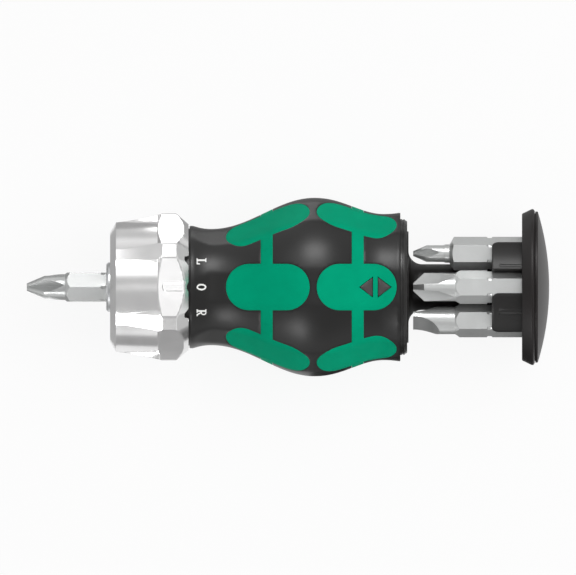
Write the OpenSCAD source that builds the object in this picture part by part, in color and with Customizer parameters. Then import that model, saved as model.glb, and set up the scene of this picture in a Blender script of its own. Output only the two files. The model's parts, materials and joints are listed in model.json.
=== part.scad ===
// Stubby ratcheting screwdriver with a pull-out bit magazine, in millimetres.
// The drive axis is X: the bit points to -X and the end cap to +X.
// +Z is the marked side of the handle. The origin is the middle of the bit holder's mouth.
// Angles round the axis run from +Z towards +Y.

/* [Bits] */
// Hexagon of every bit, across its flats
hex_af = 6.35; // [5.8:0.05:6.5]
// Length of every bit
bit_len = 25; // [24:0.5:26]
// Length of the driving bit that stands out of the holder
bit_proud = 17.36; // [16.8:0.02:18]
// Chamfer at the rear end of a bit
bit_rear_chamfer = 0.5; // [0.2:0.1:0.8]
// Distance of the corner notches from the rear end of a bit
notch_from_rear = 8.3; // [7.5:0.1:9]
// Width of the corner notches
notch_w = 0.9; // [0.5:0.1:1.2]
// Depth of the corner notches
notch_depth = 0.25; // [0.1:0.05:0.35]
// Length of the cone between a hexagon and its neck
neck_cone_len = 1.1; // [0.8:0.1:1.4]
// Radius of the medium cross point
medium_r = 2.65; // [2.4:0.05:2.8]
// Length of the medium cross point's cone
medium_cone = 3.86; // [3.4:0.02:4.2]
// Length of the flutes of the medium cross point
medium_flute = 8.2; // [7.8:0.05:8.3]
// Length of the neck of the medium cross bit
medium_neck = 8.36; // [8:0.02:9]
// Radius of the small cross points
small_r = 1.82; // [1.6:0.02:2]
// Length of the small cross points' cones
small_cone = 2.9; // [2.6:0.1:3.2]
// Length of the flutes of the small cross points
small_flute = 5.9; // [5.4:0.1:6.4]
// Radius of the collar behind the small cross point
small_collar_r = 2; // [1.9:0.02:2.2]
// Length of the neck of the small cross bits
small_neck = 7.8; // [7.4:0.1:8.4]
// Radius of the large cross point
large_r = 3.09; // [2.95:0.01:3.1]
// Length of the large cross point's cone
large_cone = 2.4; // [2:0.1:3]
// Length of the flutes of the large cross point
large_flute = 9.05; // [8.6:0.05:9.1]
// Length of the neck of the large cross bit
large_neck = 9.2; // [8.8:0.1:9.8]
// Radius of the slotted bit's neck
slotted_r = 3; // [2.8:0.05:3.1]
// Thickness of the slotted blade at its tip
blade_t = 1.15; // [0.9:0.05:1.4]
// Length of the hollow grinding on the slotted blade
blade_ground = 5.8; // [5:0.1:6.6]
// Length of the neck of the slotted bit
slotted_neck = 9.1; // [8.6:0.1:9.8]
// Radius of the star point over its lobes
star_r = 1.93; // [1.8:0.01:2]
// Length of the star point
star_len = 4; // [3.5:0.1:4.5]
// Radius of the neck behind the star point
star_neck_r = 2.8; // [2.6:0.05:2.9]
// Length of the neck of the star bit
star_neck = 9; // [8.6:0.1:9.6]

/* [Bit holder] */
// Radius of the holder's barrel
barrel_r = 5.43; // [5.3:0.01:5.5]
// Chamfer at the holder's mouth
barrel_chamfer = 0.4; // [0.2:0.05:0.6]
// Clearance round the bit in the holder's socket
socket_gap = 0.05; // [0.03:0.01:0.1]
// Radius of the magnet
magnet_r = 2.5; // [2.2:0.05:2.7]
// Length of the magnet
magnet_len = 3; // [2.5:0.1:3.5]
// Place of the ratchet wheel behind the mouth
wheel_x = 7.4; // [7.2:0.05:7.6]
// Width of the ratchet wheel
wheel_w = 5; // [4.8:0.05:5.1]
// Radius over the wheel's teeth
wheel_tip_r = 6.3; // [6.2:0.02:6.4]
// Radius at the root of the wheel's teeth
wheel_root_r = 5.2; // [5.1:0.02:5.3]
// Radius of the shaft behind the wheel
journal_r = 5; // [4.8:0.02:5.04]
// Thickness of the thrust washer behind the wheel
washer_t = 0.45; // [0.3:0.05:0.5]
// Thickness of the shaft's retaining ring
circlip_t = 0.7; // [0.5:0.05:0.8]
// Radius over the shaft's retaining ring
circlip_r = 6.1; // [5.8:0.05:6.3]

/* [Selector ring] */
// Distance of the ring's front face behind the holder's mouth
ring_x = 0.83; // [0.6:0.01:1]
// Length of the ring
ring_len = 17.14; // [17:0.02:17.3]
// Radius of the front face
ring_face_r = 12; // [11.6:0.05:12.6]
// Wall at the edge behind the front chamfer
ring_edge_wall = 1.41; // [1.36:0.01:1.5]
// Length of the front chamfer
ring_edge_len = 1.27; // [1:0.05:1.6]
// Wall under the ribs and the rear band
ring_rib_wall = 3.35; // [3.3:0.01:3.6]
// Wall under the narrow flats
narrow_flat_wall = 3.23; // [3.1:0.01:3.25]
// Wall under the wide flats
wide_flat_wall = 1.85; // [1.8:0.01:2]
// Wall under the flutes at the plane of the front face
flute_front_wall = 1.33; // [1.2:0.01:1.34]
// Wall under the flutes' rear ends
flute_wall = 1.71; // [1.6:0.01:1.75]
// Half width of the flutes at their front
flute_half_front = 6; // [5.8:0.05:6.1]
// Half width of the flutes at their back
flute_half_back = 5.5; // [5.3:0.05:5.7]
// Distance of the flutes' rear ends behind the front face
flute_len = 10.35; // [10.2:0.05:10.5]
// Distance of the rear band behind the front face
band_x = 11.44; // [11.3:0.02:11.6]
// Distance of the rear band's end behind the front face
band_end = 14.43; // [14.2:0.02:14.6]
// Wall at the rear face
ring_rear_wall = 1.02; // [0.9:0.01:1.1]
// Thickness of the front wall
ring_wall = 2.57; // [2.5:0.01:2.6]
// Gap between the ring's bore and the handle's collar
collar_gap = 0.07; // [0.04:0.01:0.1]
// Gap round the bit holder in the front wall
ring_mouth_gap = 0.27; // [0.2:0.01:0.4]
// Turn from the locked mark to the left or right mark, in degrees
selector_turn = 24; // [22:1:25]
// Width of the pointer ridge
pointer_w = 1.66; // [1.4:0.02:1.9]
// Height of the pointer ridge over its flat
pointer_h = 0.4; // [0.2:0.05:0.5]
// Length of the pointer ridge
pointer_len = 4.3; // [3.8:0.1:4.4]
// Depth of the two side notches in the rear edge
side_notch_depth = 0.9; // [0.6:0.05:1.1]
// Width of the two side notches
side_notch_w = 2; // [1.6:0.1:2.4]
// Depth of the middle notch in the rear edge
mid_notch_depth = 0.4; // [0.2:0.05:0.6]
// Width of the middle notch
mid_notch_w = 1.9; // [1.5:0.1:2.3]
// Radius of the wire that holds the ring on the collar
wire_r = 0.42; // [0.36:0.01:0.44]

/* [Ratchet] */
// Height of the pawl's pin over the wheel's teeth
pawl_pin_rise = 2.3; // [2.25:0.01:2.35]
// Distance of the pawl's pin inside the rim of the housing
pin_from_rim = 2.3; // [2.25:0.01:2.35]
// Wall of the ratchet housing
housing_wall = 1.2; // [1.1:0.02:1.25]
// Thickness of the housing's front cover
cover_t = 1.5; // [1.3:0.05:1.55]
// Gap between the cover and the ring's front wall
cover_gap = 0.6; // [0.55:0.01:0.7]
// Thickness of the housing's rear wall
rear_wall_t = 2.5; // [2.3:0.05:2.6]
// Length of the housing's hub
hub_len = 11.5; // [11:0.1:11.6]
// Radius of the housing's hub
hub_r = 6.9; // [6.8:0.02:6.95]
// Wall of the bearing bush
bush_wall = 0.95; // [0.85:0.01:1]
// Radius of the pawl's pin
pawl_pin_r = 0.9; // [0.8:0.02:0.95]
// Half length of the pawl
pawl_half = 4.6; // [4.5:0.02:4.7]
// Height of the pawl's back over its pin
pawl_back = 1.6; // [1.5:0.01:1.62]
// Radius of the ball that tips the pawl
tip_ball_r = 0.8; // [0.75:0.01:0.82]
// Distance of the tipping ball outside the rim of the housing
tip_ball_from_rim = 0.2; // [0.18:0.01:0.25]
// Radius of the ball that clicks the ring into its marks
click_ball_r = 1; // [0.9:0.02:1.02]
// Distance of the click ball inside the rim of the housing
click_ball_from_rim = 2.4; // [2.35:0.01:2.45]
// Radius of the two screws that hold the housing
screw_r = 0.8; // [0.7:0.02:0.82]
// Distance of these screws inside the rim of the housing
screw_from_rim = 2.7; // [2.65:0.01:2.75]
// Length of these screws under the head
screw_len = 8; // [7:0.5:9]

/* [Handle] */
// Gap between the ring and the handle's lip
ring_gap = 0.2; // [0.15:0.01:0.3]
// Wall between the shaft's space and the magazine chamber
chamber_wall = 5.9; // [5.8:0.05:6.2]
// Height of the lip over the collar
lip_rise = 0.59; // [0.5:0.01:0.7]
// Length of the lip
lip_len = 0.85; // [0.6:0.05:1.1]
// Radius of the waist
waist_r = 12.69; // [12.6:0.02:12.9]
// Distance of the waist behind the lip's front
waist_from_lip = 4.65; // [4:0.05:5.5]
// Wall of the magazine chamber at the belly
belly_wall = 6.18; // [6.1:0.02:6.8]
// Distance of the belly behind the lip's front
belly_from_lip = 27.2; // [27:0.1:27.6]
// Wall of the magazine chamber at the rear waist
rear_waist_wall = 2.65; // [2.62:0.01:2.8]
// Distance of the rear waist ahead of the rear face
rear_waist_from_end = 3.6; // [3:0.1:4]
// Wall of the magazine chamber at the rear face
rear_face_wall = 2.95; // [2.85:0.01:3.1]
// Depth of the six flats that keep the handle from rolling
flat_depth = 0.4; // [0.35:0.05:0.45]
// Depth of the soft grip inlays
grip_depth = 1; // [0.8:0.05:1]
// Half width of the grip pads
pad_half = 5.1; // [4.8:0.05:5.3]
// Length of the front grip pads
front_pad_len = 18.3; // [17.5:0.1:18.4]
// Gap between the front and the rear grip pads
pad_gap = 1.5; // [1.3:0.1:2]
// Distance of the rear grip pads from the rear face
rear_pad_end = 0.8; // [0.6:0.05:1]
// Distance of the front grip pads behind the lip's front
front_pad_x = 7.95; // [7.8:0.05:8.2]
// Width of the strips that join the pads
strip_w = 2.6; // [2:0.1:3]
// Distance of the front strip behind the lip's front
front_strip_x = 15.55; // [15:0.05:16]
// Distance of the rear strip ahead of the rear face
rear_strip_from_end = 10.6; // [10.2:0.05:11]
// Play of the piston flange in the chamber, all round
flange_gap = 0.1; // [0.08:0.01:0.12]
// Wall of the collar inside the ring
collar_wall = 1.83; // [1.8:0.01:1.9]
// Length of the collar inside the ring
collar_len = 4.25; // [4.2:0.01:4.3]

/* [Release rocker] */
// Distance of the rocker's pin ahead of the rear face
rocker_from_end = 14.2; // [14:0.1:14.4]
// Height of the rocker's pin over the chamber
rocker_pin_rise = 1.7; // [1.66:0.01:1.74]
// Radius of the rocker's pin
rocker_pin_r = 0.8; // [0.7:0.02:0.82]
// Half width of the rocker's arm
rocker_half = 2; // [1.8:0.05:2.1]
// Thickness of the rocker's arm
rocker_t = 0.9; // [0.85:0.01:0.92]
// Gap between the closed magazine and the rocker's hook
hook_gap = 0.15; // [0.1:0.01:0.2]
// Thickness of the rocker's hook
hook_t = 1.65; // [1.4:0.05:1.7]
// Half height of the two arrow keys
key_half = 2.46; // [2.2:0.02:2.5]
// Length of the two arrow keys
key_len = 2.85; // [2.6:0.05:2.9]
// Gap between the two arrow keys
key_apart = 1.25; // [1.1:0.05:1.4]
// Gap round the arrow keys
key_gap = 0.15; // [0.12:0.01:0.2]

/* [Magazine] */
// Depth of the pockets that take the bits' rear ends
pocket_depth = 1.25; // [1.15:0.05:1.4]
// Gap between the post and the stored bits
bit_gap = 0.265; // [0.25:0.005:0.3]
// Thickness of the clips' lips over the bits
clip_lip_t = 0.685; // [0.65:0.005:0.7]
// Thickness of the piston flange
flange_t = 1.4; // [1.3:0.02:1.42]
// Step from the boss up to the piston flange
boss_step = 0.9; // [0.85:0.01:1]
// Length of the boss behind the flange
boss_len = 2; // [1.9:0.02:2.1]
// Radius of the post
post_r = 5; // [4.9:0.02:5.02]
// Radius of the bore in the post
post_bore_r = 3.6; // [3.5:0.02:3.7]
// Space between the boss and the bits' tips
tip_gap = 1; // [0.8:0.05:1.2]
// Length of the bit clips in front of the cap
clip_len = 6.56; // [6:0.02:7]
// Clearance round the bits in the clips
clip_gap = 0.15; // [0.1:0.01:0.2]
// Width of the bezel ring, all round
bezel_w = 2.26; // [2.1:0.02:2.3]
// Gap between the bezel ring and the boss
bezel_gap = 0.3; // [0.25:0.01:0.35]
// Length of the bezel ring behind the handle
bezel_len = 1.5; // [1.4:0.02:1.55]
// Wall of the skirt that seats the bezel ring in the handle
bezel_skirt_wall = 0.92; // [0.8:0.01:0.95]
// Wall of the cap's rim at its front edge
cap_face_wall = 1.02; // [0.9:0.01:1.2]
// Greatest wall of the cap's rim
cap_wall = 1.97; // [1.8:0.01:2.2]
// Distance of the cap's widest place behind its front face
cap_widest = 2.3; // [2:0.05:2.5]
// Wall of the cap's rim at the dome's edge
dome_edge_wall = 1.39; // [1.2:0.01:1.5]
// Radius of the dome's surface
dome_r = 56; // [50:1:70]
// Height of the whole cap
cap_len = 5.95; // [5.85:0.01:6.1]
// Radius of the cap screw's head
cap_screw_head_r = 2.4; // [2.2:0.05:2.6]
// Radius of the cap screw
cap_screw_r = 1.2; // [1.1:0.02:1.3]
// Radius of the rod that guides the pop-out spring
rod_r = 1.9; // [1.8:0.02:2]
// Radius of the rod's foot
rod_foot_r = 5.5; // [5:0.1:6]
// Thickness of the rod's foot
rod_foot_t = 0.7; // [0.6:0.02:0.72]
// Mean radius of the pop-out spring
popout_r = 2.95; // [2.9:0.01:3]
// Wire radius of the pop-out spring
popout_wire = 0.35; // [0.3:0.01:0.36]
// Turns of the pop-out spring
popout_turns = 20; // [16:1:22]

/* [Hidden] */

// Every round face is a true circle: this only sets how finely it is drawn
$fn = 64;
// Clearance of a piece seated in its own body
seat = 0.05;
// Radial clearance of a running fit
run = 0.05;
// Clearance between pieces that pass each other
clear = 0.3;
// Overrun of a cut past the face it leaves
over = 0.5;

// Bits: the corners of the hexagon, and where the driving bit ends in its socket
hex_r = hex_af / 2 / cos(30);
shank_cut_r = hex_r + over;
bit_rear_x = bit_len - bit_proud;
magnet_x = bit_rear_x + 2 * seat;
magnet_end = magnet_x + magnet_len;
flute_turn_share = 0.66;
core_share = 0.24;
core_end_share = 0.38;
tip_flat_share = 0.3;
star_notch_share = 0.27;
medium_flute_turn = 8;
small_flute_turn = 68;
large_flute_turn = 75;
fine_flute_turn = 40;

// Places along the drive axis, from front to back
ring_end = ring_x + ring_len;
cavity_x = ring_x + ring_wall;
cover_x = cavity_x + cover_gap;
cup_x = cover_x + cover_t;
wheel_end = wheel_x + wheel_w;
cup_end = wheel_end + washer_t + 3 * seat;
housing_end = cup_end + rear_wall_t;
hub_end = housing_end + hub_len;
lip_x = ring_end + ring_gap;
lip_end = lip_x + lip_len;
collar_x = lip_x - collar_len;
waist_x = lip_x + waist_from_lip;
belly_x = lip_x + belly_from_lip;
circlip_x = hub_end + clear;
journal_end = circlip_x + 2 * circlip_t;
shaft_space_end = journal_end + 2 * clear;
chamber_x = shaft_space_end + chamber_wall;

// The chamber holds the magazine pushed in, so its length makes the handle's length
travel = boss_len + tip_gap + bit_len - pocket_depth - 5 * seat;
handle_end = chamber_x + rod_foot_t + 4 * seat + travel + flange_t + 4 * seat;
rear_waist_x = handle_end - rear_waist_from_end;

// Ratchet
pawl_pin_dist = wheel_tip_r + pawl_pin_rise;
housing_r = pawl_pin_dist + pin_from_rim;
tip_ball_dist = housing_r + tip_ball_from_rim;
click_ball_dist = housing_r - click_ball_from_rim;
screw_dist = housing_r - screw_from_rim;
housing_bore_r = housing_r - housing_wall;
bush_r = journal_r + run + bush_wall;
washer_r = bush_r + 4 * seat;
circlip_groove_r = journal_r - circlip_t;
wheel_teeth = 24;
tooth_pitch = 360 / wheel_teeth;
pawl_tilt = selector_turn / 3;
nose_turn = 2 * tooth_pitch;
nose_half_angle = 33;
nose_flank = pawl_half / 3;
nose_r = wheel_root_r + 3 * seat;
pawl_x0 = wheel_x + clear;
pawl_x1 = wheel_end - clear;
pawl_mid = (pawl_x0 + pawl_x1) / 2;
pawl_pin_x = cover_x + clear;
pawl_pin_end = housing_end - over;
lug_half = 2 * tip_ball_r + 2 * seat;
collar_r = housing_r + seat + collar_wall;
ring_bore_r = collar_r + collar_gap;
lug_r = housing_r + clear;
tip_pocket_r = ring_bore_r + tip_ball_r + seat;
tip_coil_wire = tip_ball_r / 6;
click_x = cover_x + click_ball_r / 4;
click_track_x = click_x - click_ball_r - 4 * seat;
click_block_r = click_ball_dist - 1.5 * click_ball_r;
click_block_half = 2 * click_ball_r - 2 * seat;
click_bore_end = cup_end - click_ball_r;
click_coil_wire = click_ball_r / 6;
window_angle = selector_turn + 23;
screw_head_r = 1.5 * screw_r;
screw_head_t = 1.2 * screw_r;
screw_angles = [75, 285];

// Selector ring
ring_edge_r = ring_bore_r + ring_edge_wall;
ring_r = ring_bore_r + ring_rib_wall;
ring_narrow_flat = ring_bore_r + narrow_flat_wall;
ring_wide_flat = ring_bore_r + wide_flat_wall;
flute_front_r = ring_bore_r + flute_front_wall;
flute_r = ring_bore_r + flute_wall;
ring_rear_r = ring_bore_r + ring_rear_wall;

// The ring's groove and the collar's groove for the retaining wire
wire_x = collar_x + 3.8 * wire_r;
wire_mean_r = ring_bore_r - seat / 2;
wire_groove_half = wire_r + 2 * seat;

// Radii of the magazine, from the post outwards
bit_circle_r = post_r + bit_gap + hex_af / 2;
boss_r = bit_circle_r + hex_af / 2 + clip_lip_t;

// Handle
chamber_r = boss_r + boss_step + flange_gap;
flange_r = chamber_r - flange_gap;
lip_r = collar_r + lip_rise;
belly_r = chamber_r + belly_wall;
rear_waist_r = chamber_r + rear_waist_wall;
rear_r = chamber_r + rear_face_wall;
hub_rib_r = hub_r + bush_wall;
hub_rib_half = bush_wall;
front_skew = 1.03;
rear_skew = 1.1;
front_pad_end = lip_x + front_pad_x + front_pad_len;
rear_pad_start = front_pad_end + pad_gap;
rear_pad_stop = handle_end - rear_pad_end;
rear_strip_x = handle_end - rear_strip_from_end;
bezel_bore_r = boss_r + bezel_gap;
bezel_r = bezel_bore_r + bezel_w;
skirt_r = chamber_r + bezel_skirt_wall;
skirt_x = handle_end - flange_t + seat;
bezel_step = (bezel_r - bezel_bore_r) / 8;
guide_rib_r = chamber_r - 2 * clear;
guide_rib_half = 2 * clear;

// Release rocker
rocker_pin_z = chamber_r + rocker_pin_rise;
rocker_x = handle_end - rocker_from_end;
rocker_hub_r = 1.875 * rocker_pin_r;
arm_z = rocker_pin_z - rocker_hub_r;
arm_top = arm_z + rocker_t;
plate_x = rear_pad_stop - pad_half;
plate_r = pad_half - rocker_t;
plate_half = 1.55 * rocker_half;
hook_z = boss_r + clear;
slot_top = arm_top + 1.2 * rocker_t;
hub_pocket_half = rocker_hub_r + clear;
rocker_spring_x = rocker_x - 3.5 * rocker_half;
rocker_coil_r = 1.2 * rocker_pin_r;
rocker_coil_wire = rocker_pin_r / 8;
rocker_spring_top = handle_flat(rocker_spring_x) - 1.7 * grip_depth;
keys_end = rear_pad_stop - 1.3 * rocker_t;
keys_x = keys_end - 2 * key_len - key_apart;

// Magazine
flange_x = handle_end - flange_t - 4 * seat;
flange_end = flange_x + flange_t;
boss_end = flange_end + boss_len;
fillet_r = (boss_r - post_r) * 0.4;
tips_x = boss_end + tip_gap;
bits_end = tips_x + bit_len;
cap_x = bits_end - pocket_depth;
clip_x = cap_x - clip_len;
clip_bore_r = post_r + clear;
disc_end = bits_end + 2 * seat;
cap_floor = disc_end + seat;
cap_groove_end = cap_x + bezel_len + 4 * seat;
cap_rim_r = bezel_r + 5 * seat;
cap_face_r = cap_rim_r + cap_face_wall;
cap_r = cap_rim_r + cap_wall;
dome_edge_r = cap_rim_r + dome_edge_wall;
cap_rim_end = cap_x + 1.2 * cap_widest;
dome_x = cap_rim_end + 3 * seat;
cap_body_end = dome_x + over;
cap_end = cap_x + cap_len;
post_bore_end = cap_x - 4 * cap_screw_r;
cap_screw_x = cap_x - 2.7 * cap_screw_r;
cap_screw_head_x = cap_body_end - 0.75 * cap_screw_r;
hook_x = flange_end - travel + hook_gap;
rod_foot_x = chamber_x + seat;
rod_foot_end = rod_foot_x + rod_foot_t;
rod_x = shaft_space_end + 3 * over;
rod_end = post_bore_end - travel - clear;

// Directions of the stored bits, with the free place at 180 degrees
small_at = 60;
large_at = 0;
slotted_at = 300;
fine_at = 120;
star_at = 240;
clip_spread = 23.7;
single_clip_spread = 12;

// A smooth step from 0 to 1
function ease(t) = (1 - cos(180 * t)) / 2;
function blend(a, b, t) = a + (b - a) * t;
function turned(p, a) = [p[0] * cos(a) - p[1] * sin(a), p[0] * sin(a) + p[1] * cos(a)];
function steps(from, to, n) = [for (i = [1 : n]) blend(from, to, i / n)];

// Radius of the handle over its ridges
function handle_r(x) =
    x <= lip_end ? lip_r :
    x <= waist_x ? blend(waist_r, lip_r, pow((waist_x - x) / (waist_x - lip_end), 2)) :
    x <= belly_x ? blend(waist_r, belly_r, ease(pow((x - waist_x) / (belly_x - waist_x), front_skew))) :
    x <= rear_waist_x
        ? blend(belly_r, rear_waist_r, ease(pow((x - belly_x) / (rear_waist_x - belly_x), rear_skew)))
        : blend(rear_waist_r, rear_r, pow((x - rear_waist_x) / (handle_end - rear_waist_x), 2));

// Distance of the handle's six flats from the axis: they fade out towards the lip
function handle_flat(x) =
    handle_r(x) - flat_depth * min(1, (x - lip_end) / (waist_x - lip_end));

handle_xs = concat([lip_end], steps(lip_end, waist_x, 3), steps(waist_x, belly_x, 8),
    steps(belly_x, rear_waist_x, 6), steps(rear_waist_x, handle_end, 2));

// A solid of revolution round the drive axis, from points of radius and place
module spin(points) {
    rotate([0, 90, 0]) rotate_extrude() polygon(points);
}

module rod(x0, x1, r) {
    translate([x0, 0, 0]) rotate([0, 90, 0]) cylinder(h = x1 - x0, r = r);
}

module tube(x0, x1, r0, r1) {
    spin([[r0, x0], [r1, x0], [r1, x1], [r0, x1]]);
}

// A flat shape in Y and Z, drawn out from x0 to x1
module slab(x0, x1) {
    translate([x0, 0, 0]) rotate([90, 0, 90]) linear_extrude(height = x1 - x0) children();
}

module at_angle(a) {
    rotate([-a, 0, 0]) children();
}

module hexagon_rod(x0, x1, across) {
    translate([x0, 0, 0]) rotate([0, 90, 0]) cylinder(h = x1 - x0, r = across / 2 / cos(30), $fn = 6);
}

module block(x0, x1, y0, y1, z0, z1) {
    translate([x0, y0, z0]) cube([x1 - x0, y1 - y0, z1 - z0]);
}

// A sector between two angles, as a flat shape
module sector(a0, a1, r) {
    mid = (a0 + a1) / 2;
    far = 2 * r;
    polygon([[0, 0], [far * sin(a0), far * cos(a0)], [far * sin(mid), far * cos(mid)],
        [far * sin(a1), far * cos(a1)]]);
}

// A coil spring along Z from 0 to its length
module coil(length, r, wire, turns) {
    per_turn = 8;
    sides = 6;
    rings = turns * per_turn;
    points = [
        for (i = [0 : rings], j = [0 : sides - 1])
            let (a = 360 * i / per_turn, b = 360 * j / sides, out = r + wire * cos(b))
            [out * cos(a), out * sin(a), wire + (length - 2 * wire) * i / rings + wire * sin(b)]
    ];
    walls = [
        for (i = [0 : rings - 1], j = [0 : sides - 1])
            let (a = i * sides + j, b = i * sides + (j + 1) % sides)
            each [[a, a + sides, b], [b, a + sides, b + sides]]
    ];
    start = [for (j = [1 : sides - 2]) [0, j, j + 1]];
    last = rings * sides;
    end = [for (j = [1 : sides - 2]) [last, last + j + 1, last + j]];
    polyhedron(points, concat(walls, start, end));
}

// Bits lie along X with their rear end at 0 and a corner of the hexagon on top
module shank(neck, neck_r) {
    front = neck - bit_len;
    cone = neck_cone_len * (shank_cut_r - neck_r) / (hex_r - neck_r);
    notch_r = hex_r - notch_depth;
    chamfer = bit_rear_chamfer * (shank_cut_r - hex_r + bit_rear_chamfer) / bit_rear_chamfer;
    intersection() {
        hexagon_rod(front, 0, hex_af);
        spin([[0, front], [neck_r, front], [shank_cut_r, front + cone],
            [shank_cut_r, -notch_from_rear - notch_w], [notch_r, -notch_from_rear - notch_w / 2],
            [notch_r, -notch_from_rear + notch_w / 2], [shank_cut_r, -notch_from_rear + notch_w],
            [shank_cut_r, -chamfer], [hex_r - bit_rear_chamfer, 0], [0, 0]]);
    }
}

// One wall-to-wall groove whose bottom edge climbs from z0 by the given angle
module groove(x, z0, climb) {
    translate([x, 0, z0]) rotate([0, -climb, 0]) translate([-bit_len, 0, 0]) rotate([45, 0, 0])
        cube([2 * bit_len, hex_af, hex_af]);
}

module flutes(r, length, turn) {
    bend = flute_turn_share * length;
    low = core_share * r;
    high = core_end_share * r;
    for (k = [0 : 3])
        at_angle(turn + 90 * k) intersection() {
            groove(-bit_len, low, atan((high - low) / bend));
            groove(bend - bit_len, high, atan((r - high) / (length - bend)));
        }
}

module cross_bit(r, cone, flute, neck, neck_r, turn) {
    shank(neck, neck_r);
    difference() {
        spin([[0, -bit_len], [tip_flat_share * r, -bit_len], [r, cone - bit_len],
            [neck_r, neck - bit_len], [neck_r, neck - bit_len + over], [0, neck - bit_len + over]]);
        flutes(neck_r, flute, turn);
    }
}

// Puts a bit into its place in the magazine, with a flat of its hexagon outwards
module stored(a) {
    at_angle(a) translate([bits_end, 0, bit_circle_r]) rotate([30, 0, 0]) children();
}

module driver_bit() {
    color("#c9cbca") translate([bit_rear_x, 0, 0])
        cross_bit(medium_r, medium_cone, medium_flute, medium_neck, medium_r + 4 * seat,
            medium_flute_turn);
}

module bit_small_cross() {
    color("#c9cbca") stored(small_at) {
        cross_bit(small_r, small_cone, small_flute, small_neck, small_r, small_flute_turn);
        rod(small_neck - bit_len - (small_neck - small_flute) / 2, small_neck - bit_len + over,
            small_collar_r);
    }
}

module bit_large_cross() {
    color("#c9cbca") stored(large_at)
        cross_bit(large_r, large_cone, large_flute, large_neck, large_r, large_flute_turn);
}

module bit_fine_cross() {
    color("#c9cbca") stored(fine_at)
        cross_bit(small_r, small_cone, small_flute, small_neck, small_r, fine_flute_turn);
}

module bit_slotted() {
    rise = slotted_r - blade_t / 2;
    grind_r = (blade_ground * blade_ground + rise * rise) / (2 * rise);
    color("#c9cbca") stored(slotted_at) {
        shank(slotted_neck, slotted_r);
        difference() {
            rod(-bit_len, slotted_neck - bit_len + over, slotted_r);
            at_angle(30) for (side = [-1, 1])
                translate([-bit_len, 0, side * (blade_t / 2 + grind_r)]) rotate([90, 0, 0])
                    cylinder(h = 3 * slotted_r, r = grind_r, center = true);
        }
    }
}

module bit_star() {
    color("#c9cbca") stored(star_at) {
        shank(star_neck, star_neck_r);
        slab(-bit_len, star_len - bit_len + over) difference() {
            circle(star_r);
            for (k = [0 : 5])
                rotate(60 * k) translate([star_r + star_notch_share * star_r / 2, 0])
                    circle(star_notch_share * star_r);
        }
        spin([[0, star_len - bit_len], [star_r, star_len - bit_len],
            [star_neck_r, 2 * star_len - bit_len], [star_neck_r, star_neck - bit_len + over],
            [0, star_neck - bit_len + over]]);
    }
}

module bit_holder() {
    color("#b9bbbd") difference() {
        union() {
            spin([[0, 0], [barrel_r - barrel_chamfer, 0], [barrel_r, barrel_chamfer],
                [barrel_r, wheel_x], [journal_r, wheel_x], [journal_r, circlip_x],
                [circlip_groove_r, circlip_x], [circlip_groove_r, circlip_x + circlip_t],
                [journal_r, circlip_x + circlip_t], [journal_r, journal_end], [0, journal_end]]);
            slab(wheel_x, wheel_end) polygon([
                for (k = [0 : 2 * wheel_teeth - 1])
                    let (r = k % 2 == 0 ? wheel_root_r : wheel_tip_r, a = k * tooth_pitch / 2)
                    [r * sin(a), r * cos(a)]
            ]);
        }
        hexagon_rod(-over, magnet_x, hex_af + 2 * socket_gap);
        rod(bit_rear_x, magnet_end + seat, magnet_r + seat);
    }
}

module bit_magnet() {
    color("#8f9194") rod(magnet_x, magnet_end, magnet_r);
}

module shaft_circlip() {
    color("#3a3a3c") difference() {
        tube(circlip_x + seat, circlip_x + circlip_t - seat, circlip_groove_r + seat, circlip_r);
        block(circlip_x, circlip_x + circlip_t, -circlip_t, circlip_t, 0, 2 * circlip_r);
    }
}

module thrust_washer() {
    color("#a58a4c")
        tube(wheel_end + seat, wheel_end + seat + washer_t, journal_r + run, washer_r);
}

module bearing_bush() {
    color("#a58a4c") tube(cup_end + seat, hub_end, journal_r + run, bush_r);
}

module ratchet_housing() {
    color("#77797b") {
        difference() {
            union() {
                rod(cup_x, housing_end, housing_r);
                rod(housing_end - over, hub_end, hub_r);
                for (side = [0, 180])
                    at_angle(side)
                        block(housing_end - over, hub_end, -hub_rib_half, hub_rib_half, hub_r / 2,
                            hub_rib_r);
            }
            difference() {
                rod(cup_x - over, cup_end, housing_bore_r);
                block(cup_x - over, cup_end, -click_block_half, click_block_half, click_block_r,
                    housing_r);
            }
            slab(cup_x - over, cup_end) sector(180 - window_angle, 180 + window_angle, housing_r);
            rod(cup_end - over, hub_end + over, bush_r + seat);
            translate([0, 0, click_ball_dist]) rod(cup_x - over, click_bore_end, click_ball_r + seat);
            at_angle(180) translate([0, 0, pawl_pin_dist])
                rod(cup_end - over, pawl_pin_end + seat, pawl_pin_r + seat);
            for (a = screw_angles)
                at_angle(a) translate([0, 0, screw_dist])
                    rod(cup_end - over, housing_end + over, screw_r + seat);
        }
    }
}

module housing_cover() {
    color("#77797b") difference() {
        rod(cover_x, cup_x, housing_r);
        rod(cover_x - over, cup_x + over, barrel_r + run);
        translate([0, 0, click_ball_dist]) rod(cover_x - over, cup_x + over, click_ball_r + seat);
        at_angle(180) translate([0, 0, pawl_pin_dist])
            rod(cover_x - over, cup_x + over, pawl_pin_r + seat);
    }
}

module housing_screws() {
    color("#3a3a3c") for (a = screw_angles)
        at_angle(a) translate([0, 0, screw_dist]) {
            difference() {
                rod(cup_end - screw_head_t, cup_end, screw_head_r);
                hexagon_rod(cup_end - screw_head_t - over, cup_end - screw_head_t / 2, screw_r);
            }
            rod(cup_end - seat, cup_end + screw_len, screw_r);
        }
}

module pawl_pin() {
    color("#8f9194") at_angle(180) translate([0, 0, pawl_pin_dist])
        rod(pawl_pin_x, pawl_pin_end, pawl_pin_r);
}

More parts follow.
